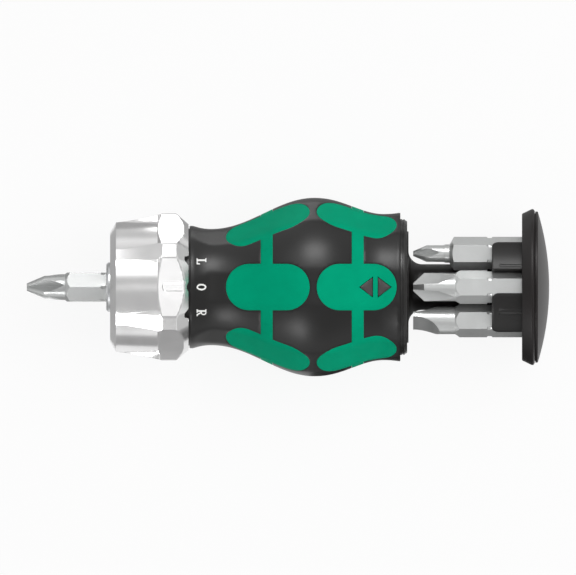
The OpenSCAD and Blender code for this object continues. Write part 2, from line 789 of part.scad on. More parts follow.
// A rocking pawl: with the ring on 0 both noses sit in the teeth and lock the wheel
module pawl() {
    meshed = [nose_r * sin(nose_turn), nose_r * cos(nose_turn) - pawl_pin_dist];
    tip = turned(meshed, pawl_tilt);
    back = 90 - nose_turn + pawl_tilt;
    outer = tip + nose_flank * [cos(back - nose_half_angle), sin(back - nose_half_angle)];
    inner = tip + nose_flank * [cos(back + nose_half_angle), sin(back + nose_half_angle)];
    half = [[0, pawl_back], [0.47 * pawl_half, 0.94 * pawl_back],
        [0.93 * pawl_half, 0.78 * pawl_back], [pawl_half, 0.56 * pawl_back],
        [pawl_half, outer[1] + nose_flank / 4], outer, tip, inner, [0.4 * pawl_half, -pawl_back]];
    color("#6c6e70") at_angle(180) translate([0, 0, pawl_pin_dist]) difference() {
        slab(pawl_x0, pawl_x1)
            polygon(concat(half, [for (i = [len(half) - 1 : -1 : 1]) [-half[i][0], half[i][1]]]));
        rod(pawl_x0 - over, pawl_x1 + over, pawl_pin_r + run);
    }
}

module click_ball() {
    color("#8f9194") translate([click_x, 0, click_ball_dist]) sphere(click_ball_r);
}

module click_spring() {
    start = click_x + click_ball_r;
    color("#8f9194") translate([start, 0, click_ball_dist]) rotate([0, 90, 0])
        coil(click_bore_end - start, click_ball_r - 2 * click_coil_wire, click_coil_wire, 7);
}

module tipping_ball() {
    color("#8f9194") at_angle(180) translate([pawl_mid, 0, tip_ball_dist]) sphere(tip_ball_r);
}

module tipping_spring() {
    start = tip_ball_dist + tip_ball_r;
    color("#8f9194") at_angle(180) translate([pawl_mid, 0, start])
        coil(tip_pocket_r - start, tip_ball_r - 2 * tip_coil_wire, tip_coil_wire, 4);
}

module ring_wire() {
    color("#8f9194") translate([wire_x, 0, 0]) rotate([0, 90, 0])
        rotate_extrude(angle = 330) translate([wire_mean_r, 0]) circle(wire_r);
}

module flute_cutters() {
    slope = (band_x - flute_len) / (ring_r - flute_r);
    for (k = [0 : 5])
        at_angle(60 * k) intersection() {
            spin([[flute_front_r, ring_x], [flute_r, ring_x + flute_len],
                [ring_r + over, ring_x + band_x + over * slope], [ring_r + over, ring_x]]);
            linear_extrude(height = 2 * ring_r) polygon([[ring_x - over, -flute_half_front],
                [ring_x + band_x + over, -flute_half_back], [ring_x + band_x + over, flute_half_back],
                [ring_x - over, flute_half_front]]);
        }
}

// A notch in the ring's rear edge, steep on the side away from the middle mark
module side_notch(side) {
    h = side * side_notch_w / 2;
    past = over / side_notch_depth;
    linear_extrude(height = 2 * ring_r) polygon([[ring_end + over, blend(h, 0.6 * h, -past)],
        [ring_end - side_notch_depth, 0.6 * h], [ring_end - side_notch_depth, -0.1 * h],
        [ring_end + over, -blend(h, 0.1 * h, -past)]]);
}

module selector_ring() {
    m = mid_notch_w / 2;
    past = over / mid_notch_depth;
    color("#d4d4d6") difference() {
        union() {
            difference() {
                intersection() {
                    spin([[0, ring_x], [ring_face_r, ring_x], [ring_edge_r, ring_x + ring_edge_len],
                        [blend(ring_edge_r, ring_r, 0.42), ring_x + blend(ring_edge_len, band_x, 0.55)],
                        [ring_r, ring_x + band_x], [ring_r, ring_x + band_end],
                        [ring_rear_r, ring_end], [0, ring_end]]);
                    hexagon_rod(ring_x - over, ring_end + over, 2 * ring_narrow_flat);
                    rotate([30, 0, 0])
                        hexagon_rod(ring_x - over, ring_end + over, 2 * ring_wide_flat);
                }
                flute_cutters();
                tube(cavity_x, ring_end + over, 0, ring_bore_r);
            }
            pointer_ridge();
            at_angle(180) intersection() {
                block(pawl_mid - lug_half, pawl_mid + lug_half, -lug_half, lug_half, lug_r,
                    ring_bore_r + over);
                tube(pawl_mid - lug_half, pawl_mid + lug_half, 0, ring_bore_r + over);
            }
        }
        rod(ring_x - over, cavity_x + over, barrel_r + ring_mouth_gap);
        tube(click_track_x, cavity_x + over, click_ball_dist - 0.85 * click_ball_r,
            click_ball_dist + 0.85 * click_ball_r);
        for (a = [-selector_turn, 0, selector_turn]) {
            at_angle(a) translate([click_track_x + 0.8 * click_ball_r, 0, click_ball_dist])
                sphere(click_ball_r);
        }
        tube(wire_x - wire_groove_half, wire_x + wire_groove_half, 0, wire_mean_r + wire_groove_half);
        at_angle(180) translate([pawl_mid, 0, lug_r - over])
            cylinder(h = tip_pocket_r - lug_r + over, r = tip_ball_r + seat);
        at_angle(selector_turn) side_notch(1);
        at_angle(-selector_turn) side_notch(-1);
        linear_extrude(height = 2 * ring_r) polygon([[ring_end + over, blend(m, 0.5 * m, -past)],
            [ring_end - mid_notch_depth, 0.5 * m], [ring_end - mid_notch_depth, -0.5 * m],
            [ring_end + over, -blend(m, 0.5 * m, -past)]]);
    }
}

// The raised pointer on the ring's top flat, round in front and square behind
module pointer_ridge() {
    h = pointer_w / 2;
    start = ring_x + band_x + h;
    translate([0, 0, ring_wide_flat - over]) linear_extrude(height = over + pointer_h) {
        translate([start, 0]) circle(h);
        translate([start, -h]) square([pointer_len - h, pointer_w]);
    }
}

// One pair of the handle's flats, top and bottom, set in by the given depth
module flat_pair(depth) {
    n = len(handle_xs) - 1;
    xs = concat([lip_end], [for (i = [1 : n]) (handle_xs[i - 1] + handle_xs[i]) / 2], [handle_end]);
    outline = [for (x = xs) [x, handle_flat(x) - depth]];
    rotate([90, 0, 0]) linear_extrude(height = 3 * belly_r, center = true)
        polygon(concat([[lip_x, lip_r + over], [lip_end, lip_r + over]], outline,
            [for (i = [len(outline) - 1 : -1 : 0]) [outline[i][0], -outline[i][1]]],
            [[lip_end, -lip_r - over], [lip_x, -lip_r - over]]));
}

// The handle's outer form, set in by the given depth
module handle_form(depth) {
    intersection() {
        spin(concat([[0, lip_x], [lip_r - depth, lip_x]], [for (x = handle_xs) [handle_r(x) - depth, x]],
            [[0, handle_end]]));
        flat_pair(depth);
        rotate([60, 0, 0]) flat_pair(depth);
        rotate([120, 0, 0]) flat_pair(depth);
    }
}

// Six pads with round ends and the strip that joins them, right through the handle's wall
module grip_zone(x0, x1, strip_x) {
    for (k = [0 : 5])
        at_angle(60 * k) linear_extrude(height = belly_r + over) {
            translate([x0 + pad_half, 0]) circle(pad_half);
            translate([x1 - pad_half, 0]) circle(pad_half);
            translate([x0 + pad_half, -pad_half]) square([x1 - x0 - 2 * pad_half, 2 * pad_half]);
        }
    rod(strip_x, strip_x + strip_w, belly_r + over);
}

module front_zone() {
    grip_zone(lip_x + front_pad_x, front_pad_end, lip_x + front_strip_x);
}

module rear_zone() {
    grip_zone(rear_pad_start, rear_pad_stop, rear_strip_x);
}

module front_grip_inlay() {
    color("#009e7a") difference() {
        intersection() {
            handle_form(0);
            front_zone();
        }
        handle_form(grip_depth);
    }
}

module rear_grip_inlay() {
    color("#009e7a") difference() {
        intersection() {
            handle_form(0);
            rear_zone();
        }
        handle_form(grip_depth);
        translate([0, 0, arm_z]) linear_extrude(height = belly_r) arrow_keys(key_gap);
    }
}

// Two arrowheads that point away from each other, as flat shapes grown by the given gap
module arrow_keys(grow) {
    h = key_half + 2 * grow;
    left = keys_x + key_len + grow;
    right = left + key_apart - 2 * grow;
    polygon([[keys_x - 2 * grow, 0], [left, h], [left, -h]]);
    polygon([[keys_end + 2 * grow, 0], [right, -h], [right, h]]);
}

module handle_shell() {
    color("#2d2b2a") difference() {
        union() {
            difference() {
                handle_form(0);
                difference() {
                    union() {
                        front_zone();
                        rear_zone();
                    }
                    handle_form(grip_depth);
                }
            }
            rod(collar_x, lip_x + over, collar_r);
        }
        rod(collar_x - over, housing_end + seat, housing_r + seat);
        rod(housing_end - over, shaft_space_end, hub_bore_r());
        for (side = [0, 180])
            at_angle(side)
                block(housing_end - over, hub_end + clear, -hub_rib_half - seat, hub_rib_half + seat,
                    hub_r / 2, hub_rib_r + seat);
        tube(wire_x - wire_groove_half, wire_x + wire_groove_half, wire_mean_r - wire_groove_half,
            ring_bore_r + over);
        for (a = screw_angles)
            at_angle(a) translate([0, 0, screw_dist])
                rod(housing_end - over, cup_end + screw_len + over, screw_r + seat);
        rod(rod_x - over, chamber_x + over, rod_r + seat);
        difference() {
            rod(chamber_x, handle_end + over, chamber_r);
            for (side = [90, 270])
                at_angle(side)
                    block(chamber_x - over, skirt_x, -guide_rib_half, guide_rib_half, guide_rib_r,
                        chamber_r + over);
        }
        rod(skirt_x - seat, handle_end + over, skirt_r + seat);
        rocker_space();
    }
}

function hub_bore_r() = hub_r + seat;

// The slot in the chamber's roof for the rocker, its pin, its spring and its keys
module rocker_space() {
    arm = rocker_half + clear;
    block(hook_x - clear, plate_x, -arm, arm, chamber_r - over, slot_top);
    block(rocker_x - hub_pocket_half, rocker_x + hub_pocket_half, -arm, arm, chamber_r - over,
        rocker_pin_z + hub_pocket_half);
    translate([rocker_x, 0, rocker_pin_z]) rotate([90, 0, 0])
        cylinder(h = 2 * (arm + 2 * rocker_pin_r + seat), r = rocker_pin_r + seat, center = true);
    translate([rocker_spring_x, 0, arm_top])
        cylinder(h = rocker_spring_top - arm_top, r = rocker_coil_r + 2 * rocker_coil_wire + seat);
    intersection() {
        translate([plate_x, 0, chamber_r - over])
            cylinder(h = belly_r - chamber_r, r = plate_r + 4 * seat);
        block(plate_x - pad_half, plate_x + pad_half, -plate_half - 4 * seat, plate_half + 4 * seat,
            chamber_r - over, belly_r);
    }
}

module release_rocker() {
    color("#35312f") difference() {
        union() {
            block(hook_x, plate_x, -rocker_half, rocker_half, arm_z, arm_top);
            block(hook_x, hook_x + hook_t, -rocker_half, rocker_half, hook_z, arm_top);
            translate([rocker_x, 0, rocker_pin_z]) rotate([90, 0, 0])
                cylinder(h = 2 * rocker_half, r = rocker_hub_r, center = true);
            intersection() {
                translate([plate_x, 0, arm_z]) cylinder(h = rocker_t, r = plate_r);
                block(plate_x - pad_half, plate_x + pad_half, -plate_half, plate_half, arm_z, arm_top);
            }
            intersection() {
                translate([0, 0, arm_top - seat]) linear_extrude(height = belly_r - arm_top)
                    arrow_keys(0);
                flat_pair(0);
            }
        }
        translate([rocker_x, 0, rocker_pin_z]) rotate([90, 0, 0])
            cylinder(h = 3 * rocker_half, r = rocker_pin_r + run, center = true);
    }
}

module rocker_pin() {
    color("#8f9194") translate([rocker_x, 0, rocker_pin_z]) rotate([90, 0, 0])
        cylinder(h = 2 * (rocker_half + clear + 2 * rocker_pin_r), r = rocker_pin_r, center = true);
}

module rocker_spring() {
    color("#8f9194") translate([rocker_spring_x, 0, arm_top])
        coil(rocker_spring_top - arm_top, rocker_coil_r, rocker_coil_wire, 5);
}

module bezel_ring() {
    color("#33302f") spin([[chamber_r, skirt_x], [skirt_r, skirt_x], [skirt_r, handle_end],
        [bezel_r, handle_end], [bezel_r, handle_end + bezel_len - bezel_step],
        [bezel_r - bezel_step, handle_end + bezel_len], [bezel_bore_r, handle_end + bezel_len],
        [bezel_bore_r, handle_end], [chamber_r, handle_end]]);
}

module guide_rod() {
    color("#8f9194") spin([[0, rod_x], [rod_r, rod_x], [rod_r, rod_foot_x], [rod_foot_r, rod_foot_x],
        [rod_foot_r, rod_foot_end], [rod_r, rod_foot_end], [rod_r, rod_end], [0, rod_end]]);
}

module popout_spring() {
    color("#8f9194") translate([rod_foot_end, 0, 0]) rotate([0, 90, 0])
        coil(post_bore_end - rod_foot_end, popout_r, popout_wire, popout_turns);
}

// Piston, boss and hollow post of the magazine
module magazine_core() {
    neck_r = post_r + fillet_r;
    color("#35312f") difference() {
        spin(concat([[0, flange_x], [flange_r, flange_x], [flange_r, flange_end], [boss_r, flange_end],
            [boss_r, boss_end]],
            [for (a = [0 : 15 : 90]) [neck_r - fillet_r * sin(a), boss_end + fillet_r * (1 - cos(a))]],
            [[post_r, disc_end], [0, disc_end]]));
        rod(flange_x - over, post_bore_end, post_bore_r);
        rod(post_bore_end - over, disc_end + over, cap_screw_r + seat);
        for (side = [90, 270])
            at_angle(side)
                block(flange_x - over, flange_end, -guide_rib_half - clear / 2,
                    guide_rib_half + clear / 2, guide_rib_r - clear / 2, flange_r + over);
    }
}

// Clip arms between the bits: a double one holds both neighbours, a single one only the later
module clip_arm(a, spread, free) {
    difference() {
        intersection() {
            tube(clip_x, disc_end, clip_bore_r, boss_r);
            slab(clip_x, disc_end) sector(a - spread, a + clip_spread, boss_r);
        }
        if (free)
            at_angle(a - 30)
                block(clip_x - over, disc_end + over, -hex_r - clip_gap, hex_r + clip_gap,
                    bit_circle_r, boss_r + over);
    }
}

module bit_clips() {
    color("#35312f") difference() {
        union() {
            tube(cap_x, disc_end, clip_bore_r, boss_r);
            for (a = [150, 330]) clip_arm(a, clip_spread, false);
            for (a = [30, 210]) clip_arm(a, single_clip_spread, true);
        }
        for (k = [0 : 5])
            at_angle(60 * k) translate([0, 0, bit_circle_r]) rotate([30, 0, 0])
                hexagon_rod(clip_x - over, disc_end + over, hex_af + 2 * clip_gap);
    }
}

module end_cap() {
    color("#383432") difference() {
        spin([[0, cap_floor], [boss_r + seat, cap_floor], [boss_r + seat, cap_groove_end],
            [cap_rim_r, cap_groove_end], [cap_rim_r, cap_x], [cap_face_r - 4 * seat, cap_x],
            [cap_face_r, cap_x + 4 * seat], [cap_r - seat, cap_x + 0.93 * cap_widest],
            [cap_r, cap_x + cap_widest], [cap_r - 2 * seat, cap_x + 1.1 * cap_widest],
            [dome_edge_r, cap_rim_end], [cap_rim_r, cap_rim_end], [cap_rim_r, cap_body_end],
            [0, cap_body_end]]);
        rod(cap_floor - over, cap_body_end + over, cap_screw_r + seat);
        rod(cap_screw_head_x - seat, cap_body_end + over, cap_screw_head_r + seat);
    }
}

module cap_cover() {
    edge = asin((dome_edge_r - seat) / dome_r);
    color("#383432") spin(concat([[0, cap_body_end + seat], [cap_rim_r + seat, cap_body_end + seat],
        [cap_rim_r + seat, dome_x], [dome_edge_r - 3 * seat, dome_x], [dome_edge_r, dome_x + 3 * seat]],
        [for (i = [12 : -1 : 0])
            let (a = edge * i / 12) [dome_r * sin(a), cap_end - dome_r * (1 - cos(a))]]));
}

module cap_screw() {
    color("#8f9194") difference() {
        union() {
            rod(cap_screw_x, cap_screw_head_x + seat, cap_screw_r);
            rod(cap_screw_head_x, cap_body_end - seat, cap_screw_head_r);
        }
        hexagon_rod(cap_body_end - cap_screw_r / 2, cap_body_end + over, 1.5 * cap_screw_r);
    }
}

handle_shell();
front_grip_inlay();
rear_grip_inlay();
bezel_ring();
ratchet_housing();
housing_cover();
housing_screws();
bearing_bush();
thrust_washer();
pawl_pin();
click_ball();
click_spring();
ring_wire();
rocker_pin();
rocker_spring();
guide_rod();
popout_spring();
selector_ring();
tipping_ball();
tipping_spring();
bit_holder();
bit_magnet();
shaft_circlip();
driver_bit();
pawl();
release_rocker();
magazine_core();
bit_clips();
end_cap();
cap_cover();
cap_screw();
bit_small_cross();
bit_large_cross();
bit_slotted();
bit_fine_cross();
bit_star();
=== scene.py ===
"""Looks of the stubby ratcheting screwdriver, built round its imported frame.

Shapes are worked out in millimetres and turned into metres when a mesh is made. The drive axis
is X, the marked side is +Z, and angles round the axis run from +Z towards +Y.
"""
import json
from math import asin, cos, hypot, pi, radians, sin, sqrt

import bmesh
import bpy
import numpy as np
from mathutils import Matrix, Vector
from mathutils.geometry import delaunay_2d_cdt


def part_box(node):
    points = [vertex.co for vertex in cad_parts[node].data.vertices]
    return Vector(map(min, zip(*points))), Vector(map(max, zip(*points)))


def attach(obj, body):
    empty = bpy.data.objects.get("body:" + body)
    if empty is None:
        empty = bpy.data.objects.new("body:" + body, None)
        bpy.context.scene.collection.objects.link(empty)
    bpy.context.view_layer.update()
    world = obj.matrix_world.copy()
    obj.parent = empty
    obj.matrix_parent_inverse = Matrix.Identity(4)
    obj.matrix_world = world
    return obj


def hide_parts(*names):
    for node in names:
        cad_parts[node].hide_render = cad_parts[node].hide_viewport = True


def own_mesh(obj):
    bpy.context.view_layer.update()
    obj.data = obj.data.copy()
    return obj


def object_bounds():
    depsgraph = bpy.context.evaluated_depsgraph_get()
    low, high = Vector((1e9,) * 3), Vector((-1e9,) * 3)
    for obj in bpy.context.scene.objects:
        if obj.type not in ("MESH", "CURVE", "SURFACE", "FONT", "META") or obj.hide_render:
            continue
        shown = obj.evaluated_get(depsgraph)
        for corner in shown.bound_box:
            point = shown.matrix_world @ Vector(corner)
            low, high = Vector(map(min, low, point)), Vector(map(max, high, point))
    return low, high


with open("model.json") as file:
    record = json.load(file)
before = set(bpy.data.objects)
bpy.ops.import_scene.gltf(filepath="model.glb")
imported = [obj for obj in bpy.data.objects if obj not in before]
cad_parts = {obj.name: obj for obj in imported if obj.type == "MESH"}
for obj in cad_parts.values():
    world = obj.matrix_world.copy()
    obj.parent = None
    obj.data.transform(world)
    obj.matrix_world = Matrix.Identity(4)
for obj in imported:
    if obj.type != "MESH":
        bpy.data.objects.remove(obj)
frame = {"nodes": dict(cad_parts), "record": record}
cad_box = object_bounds()

MM = 0.001
SIDES = 6
SECTOR = 2 * pi / SIDES
SECTOR_ANGLES = np.linspace(-SECTOR / 2, SECTOR / 2, 31)
WELD = 2e-4
LAP = 0.02
LATHE_STEPS = 160


def corners(node):
    """Lowest and highest corner of a CAD node, in millimetres."""
    low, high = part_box(node)
    return Vector(low) / MM, Vector(high) / MM


# Boxes of the CAD nodes that the looks are built round
shell_low, shell_high = corners("handle_shell")
ring_low, ring_high = corners("selector_ring")
bezel_low, bezel_high = corners("bezel_ring")
core_low, core_high = corners("magazine_core")
cap_low, cap_high = corners("end_cap")
cover_high = corners("cap_cover")[1]
rocker_low = corners("release_rocker")[0]

# Handle: its collar, lip, waist, belly and rear waist, the chamber and the flats
COLLAR_LEN = 4.25
COLLAR_R = 12.78
COLLAR_BORE = 10.95
LIP_LEN = 0.85
LIP_R = 13.37
WAIST_FROM_LIP = 4.65
WAIST_R = 12.69
BELLY_FROM_LIP = 27.2
REAR_WAIST_FROM_END = 3.6
REAR_WAIST_R = 15.95
REAR_R = 16.25
FRONT_SKEW = 1.03
REAR_SKEW = 1.1
FLAT_DEPTH = 0.4
RIDGE_ROUND = 0.1
CHAMBER_X = 35.2
CHAMBER_R = 13.3
CHAMBER_OUTER_R = 13.9
MOUTH_LEN = 1.35
MOUTH_R = 14.27
MOUTH_OUTER_R = 14.5

# Grip: the pads, the strips that join them, and the keys' windows
PAD_HALF = 5.1
PAD_DEPTH = 1.0
FRONT_PAD = (26.12, 44.42)
REAR_PAD = (45.92, 63.4)
STRIP_W = 2.6
FRONT_STRIP_X = 33.72
REAR_STRIP_X = 53.6
ZONES = [(FRONT_PAD, FRONT_STRIP_X), (REAR_PAD, REAR_STRIP_X)]
PAD_SEAM = 0.035
RIM = 0.1
RIM_DROP = 0.06
POCKET_DROP = 0.7 * RIM_DROP
KEYS_FROM_END = 8.84
KEY_HALF = 2.16
KEY_LEN = 2.78
KEY_APART = 1.2
KEY_GAP = 0.08
ROCKER_WINDOW = [(46.6, -3.3), (62.7, -3.3), (62.7, 3.3), (46.6, 3.3)]

lip_x = shell_low.x + COLLAR_LEN
lip_end = lip_x + LIP_LEN
waist_x = lip_x + WAIST_FROM_LIP
belly_x = lip_x + BELLY_FROM_LIP
belly_r = shell_high.y
handle_end = shell_high.x
rear_waist_x = handle_end - REAR_WAIST_FROM_END
keys_x = handle_end - KEYS_FROM_END
keys_end = keys_x + 2 * KEY_LEN + KEY_APART


def ease(t):
    return (1 - cos(pi * t)) / 2


def blend(a, b, t):
    return a + (b - a) * t


def clamped(share):
    return min(1, max(0, share))


def smooth_min(a, b, width):
    """The lower of two heights, with a rounded change from one to the other."""
    near = max(width - abs(a - b), 0) / width
    return min(a, b) - near * near * width / 4


def handle_r(x):
    """Radius of the handle over its ridges."""
    if x <= lip_end:
        return LIP_R
    if x <= waist_x:
        return blend(WAIST_R, LIP_R, ((waist_x - x) / (waist_x - lip_end)) ** 2)
    if x <= belly_x:
        return blend(WAIST_R, belly_r, ease(((x - waist_x) / (belly_x - waist_x)) ** FRONT_SKEW))
    if x <= rear_waist_x:
        share = (x - belly_x) / (rear_waist_x - belly_x)
        return blend(belly_r, REAR_WAIST_R, ease(share ** REAR_SKEW))
    return blend(REAR_WAIST_R, REAR_R, ((x - rear_waist_x) / (handle_end - rear_waist_x)) ** 2)


def surface_r(x, angle):
    """Radius of the handle at an angle from the middle of a flat."""
    flat = handle_r(x) - FLAT_DEPTH * clamped((x - lip_end) / (waist_x - lip_end))
    return smooth_min(handle_r(x), flat / cos(angle), RIDGE_ROUND)


def round_axis(x, angle, r):
    return Vector((x, r * sin(angle), r * cos(angle)))


def side_angle(x, side):
    """The angle at which the handle's surface lies this far to the side of a flat's middle."""
    angle = 0.0
    for _ in range(6):
        angle = asin(side / surface_r(x, angle))
    return angle


# Making pieces
def placed(name, data):
    """A new object in the scene."""
    made = bpy.data.objects.new(name, data)
    bpy.context.scene.collection.objects.link(made)
    return made


def piece(name, bm, finish, body, replaced=(), sharp=32, slot=None):
    """Turns a bmesh in millimetres into a named piece that rides on a body."""
    slot = slot or finish
    bmesh.ops.recalc_face_normals(bm, faces=bm.faces)
    bm.transform(Matrix.Scale(MM, 4))
    mesh = bpy.data.meshes.new(name)
    bm.to_mesh(mesh)
    bm.free()
    mesh.shade_smooth()
    mesh.set_sharp_from_angle(angle=radians(sharp))
    made = placed(name, mesh)
    mesh.materials.append(FINISHES[finish])
    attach(made, body)
    if replaced:
        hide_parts(*replaced)
    return made


def skin(bm, loops):
    """Faces between closed loops of vertices that lie one behind the other."""
    for near, far in zip(loops, loops[1:]):
        for i, corner in enumerate(near):
            j = (i + 1) % len(near)
            bm.faces.new((corner, near[j], far[j], far[i]))


def drop_loose(bm):
    loose = [v for v in bm.verts if not v.link_faces]
    bmesh.ops.delete(bm, geom=loose, context="VERTS")


def weld(bm, reach=WELD):
    bmesh.ops.remove_doubles(bm, verts=bm.verts, dist=reach)


def grid(rows, bm=None):
    """A closed skin over rows of points that run round the axis; the last row joins the first."""
    bm = bm or bmesh.new()
    loops = [[bm.verts.new(p) for p in row] for row in rows]
    skin(bm, loops + loops[:1])
    weld(bm, WELD / 2)
    bmesh.ops.dissolve_degenerate(bm, edges=bm.edges, dist=WELD / 20)
    return bm


CORNER_SHARE = 0.48


def rounded(points, radius, steps=4):
    """A closed outline whose corners are rounded; a point may bring its own radius.

    A rounded corner takes no more than CORNER_SHARE of the sides next to it.
    """
    made = []
    n = len(points)
    for i, point in enumerate(points):
        p = Vector(point[:2])
        r = point[2] if len(point) > 2 else radius
        a = Vector(points[i - 1][:2]) - p
        b = Vector(points[(i + 1) % n][:2]) - p
        if not r:
            made.append(p)
            continue
        half = a.angle(b) / 2
        reach = min(r / max(abs(np.tan(half)), 1e-6), CORNER_SHARE * a.length, CORNER_SHARE * b.length)
        start = p + a.normalized() * reach
        end = p + b.normalized() * reach
        for s in range(steps + 1):
            t = s / steps
            made.append(start * (1 - t) ** 2 + p * 2 * t * (1 - t) + end * t * t)
    return made


def lathe(points, bm=None):
    """A solid of revolution round the axis from a closed outline of (x, radius)."""
    turns = [2 * pi * j / LATHE_STEPS for j in range(LATHE_STEPS)]
    return grid([[round_axis(p[0], a, p[1]) for a in turns] for p in points], bm)


def ellipse(x, y, half_x, half_y, count):
    turns = np.linspace(0, 2 * pi, count + 1)[:-1]
    return [(x + half_x * cos(a), y + half_y * sin(a)) for a in turns]


def inside(points, outline):
    """Which of the points lie inside a closed outline."""
    points = np.asarray(points, float)
    hit = np.zeros(len(points), bool)
    ends = np.roll(outline, -1, axis=0)
    for (x0, y0), (x1, y1) in zip(outline, ends):
        if y0 == y1:
            continue
        spans = (y0 > points[:, 1]) != (y1 > points[:, 1])
        at = x0 + (points[:, 1] - y0) * (x1 - x0) / (y1 - y0)
        hit ^= spans & (points[:, 0] < at)
    return hit


def distance(points, outline):
    """Distance of each point from a closed outline."""
    points = np.asarray(points, float)
    best = np.full(len(points), np.inf)
    for a, b in zip(np.asarray(outline, float), np.roll(outline, -1, axis=0)):
        run = b - a
        squared = max(float(run @ run), 1e-12)
        t = np.clip(((points - a) @ run) / squared, 0, 1)
        best = np.minimum(best, np.hypot(*(points - a - t[:, None] * run).T))
    return best


def paved(outlines, seeds, keep, clearance):
    """Triangles over the plane region that keep() accepts, with edges along every outline.

    Gives the points, the triangles, and for each point the number of its outline or -1.
    """
    free = np.ones(len(seeds), bool)
    for outline in outlines:
        free &= distance(seeds, outline) > clearance
    seeds = np.asarray(seeds)[free]
    points, edges, owner = [], [], []
    for number, outline in enumerate(outlines):
        first = len(points)
        points += [Vector(p) for p in outline]
        owner += [number] * len(outline)
        edges += [(first + i, first + (i + 1) % len(outline)) for i in range(len(outline))]
    points += [Vector(p) for p in seeds]
    owner += [-1] * len(seeds)
    verts, _, faces, sources, _, _ = delaunay_2d_cdt(points, edges, [], 0, 1e-6)
    middles = np.array([[sum(verts[i][c] for i in f) / len(f) for c in (0, 1)] for f in faces])
    kept = keep(middles)
    owners = [min((owner[s] for s in source if owner[s] >= 0), default=-1) for source in sources]
    return verts, [f for f, k in zip(faces, kept) if k], owners


def within(outer, holes=()):
    """A test that accepts points inside one outline and outside the others."""
    def keep(points):
        wanted = inside(points, outer)
        for hole in holes:
            wanted &= ~inside(points, hole)
        return wanted
    return keep


def subdivided(outline, longest):
    made = []
    for a, b in zip(outline, outline[1:] + outline[:1]):
        n = max(1, int(np.ceil(hypot(b[0] - a[0], b[1] - a[1]) / longest)))
        made += [(blend(a[0], b[0], i / n), blend(a[1], b[1], i / n)) for i in range(n)]
    return made


# Outlines on one sector of the handle, as (place along the axis, angle times ARC)
ARC = 15.0


def zone_outline(pad, strip_x, grow):
    """The outline of one pad with its two strip stubs, grown by a little all round."""
    x0, x1 = pad[0] - grow, pad[1] + grow
    half = PAD_HALF + grow
    s0, s1 = strip_x - grow, strip_x + STRIP_W + grow
    quarter = np.linspace(0, pi / 2, 14)
    bow = [(x0 + half * (1 - cos(t)), half * sin(t)) for t in quarter]
    stern = [(x1 - half * (1 - sin(t)), half * cos(t)) for t in quarter]
    front = [(x, half) for x in np.linspace(x0 + half, s0, 9)[1:]]
    back = [(x, half) for x in np.linspace(s1, x1 - half, 9)[:-1]]
    upper = [(x, side_angle(x, v)) for x, v in bow + front]
    edge0, edge1 = side_angle(s0, half), side_angle(s1, half)
    upper += [(s0, blend(edge0, SECTOR / 2, t)) for t in np.linspace(0, 1, 6)[1:]]
    upper += [(s1, blend(SECTOR / 2, edge1, t)) for t in np.linspace(0, 1, 6)[:-1]]
    upper += [(x, side_angle(x, v)) for x, v in back + stern]
    lower = [(x, -a) for x, a in reversed(upper) if abs(a) > 1e-9]
    return np.array([(x, a * ARC) for x, a in upper + lower])


def key_outlines(grow):
    """The two arrow keys on the marked flat, seen from above, grown by the given gap."""
    half = KEY_HALF + 2 * grow
    left = keys_x + KEY_LEN + grow
    right = left + KEY_APART - 2 * grow
    return [
        [(keys_x - 2 * grow, 0), (left, half), (left, -half)],
        [(keys_end + 2 * grow, 0), (right, -half), (right, half)],
    ]


def laid(shape, longest):
    """An outline seen from above the marked flat, laid on the sector in short steps."""
    return np.array([(x, side_angle(x, y) * ARC) for x, y in subdivided(shape, longest)])


def windows(grow):
    return [laid(shape, 0.4) for shape in key_outlines(grow)]


def spread(pad, step):
    """Seed points over one sector between a pad's two ends."""
    x0, x1 = pad
    xs = np.linspace(x0, x1, int((x1 - x0) / step) + 1)
    return np.array([(x, a * ARC) for x in xs for a in SECTOR_ANGLES])


def sector_mesh(bm, number, verts, faces, heights):
    """Lays a paved sector on the handle, as the given one of the six."""
    made = []
    for (u, v), height in zip(verts, heights):
        angle = v / ARC
        r = surface_r(u, angle) + height
        made.append(bm.verts.new(round_axis(u, angle + number * SECTOR, r)))
    for f in faces:
        bm.faces.new([made[i] for i in f])


def open_edges(bm, wanted=lambda edge: True):
    return [edge for edge in bm.edges if edge.is_boundary and wanted(edge)]


def draw_walls(bm, edges, new_r):
    """Draws walls from these edges to the radius that new_r gives for their own."""
    made = bmesh.ops.extrude_edge_only(bm, edges=edges)["geom"]
    for v in made:
        if isinstance(v, bmesh.types.BMVert):
            r = hypot(v.co.y, v.co.z)
            v.co.yz = v.co.yz * (new_r(r) / r)


def lay_pocket_floors(bm):
    """Closes the pockets below the inlays, but for the window of the release rocker."""
    window = laid(ROCKER_WINDOW, 1.0)
    for pad, strip_x in ZONES:
        edge = zone_outline(pad, strip_x, PAD_SEAM)
        for number in range(SIDES):
            holes = [window] if number == 0 and pad == REAR_PAD else []
            verts, faces, _ = paved([edge, *holes], spread(pad, 1.1), within(edge, holes), 0.3)
            sector_mesh(bm, number, verts, faces, [-POCKET_DROP - PAD_DEPTH] * len(verts))
    weld(bm)
    drop_loose(bm)


# The handle's ends: a first row at the very end, and a second one that rounds the edge
END_NEAR = 0.01
END_STEP = 0.1
END_DROP = 0.16
SECOND_DROP = 0.03


def end_drop(x):
    """How far the skin is drawn in near the handle's two ends."""
    reach = min(x - lip_x, handle_end - x)
    if reach < END_NEAR:
        return END_DROP
    return SECOND_DROP if reach < END_STEP + END_NEAR else 0


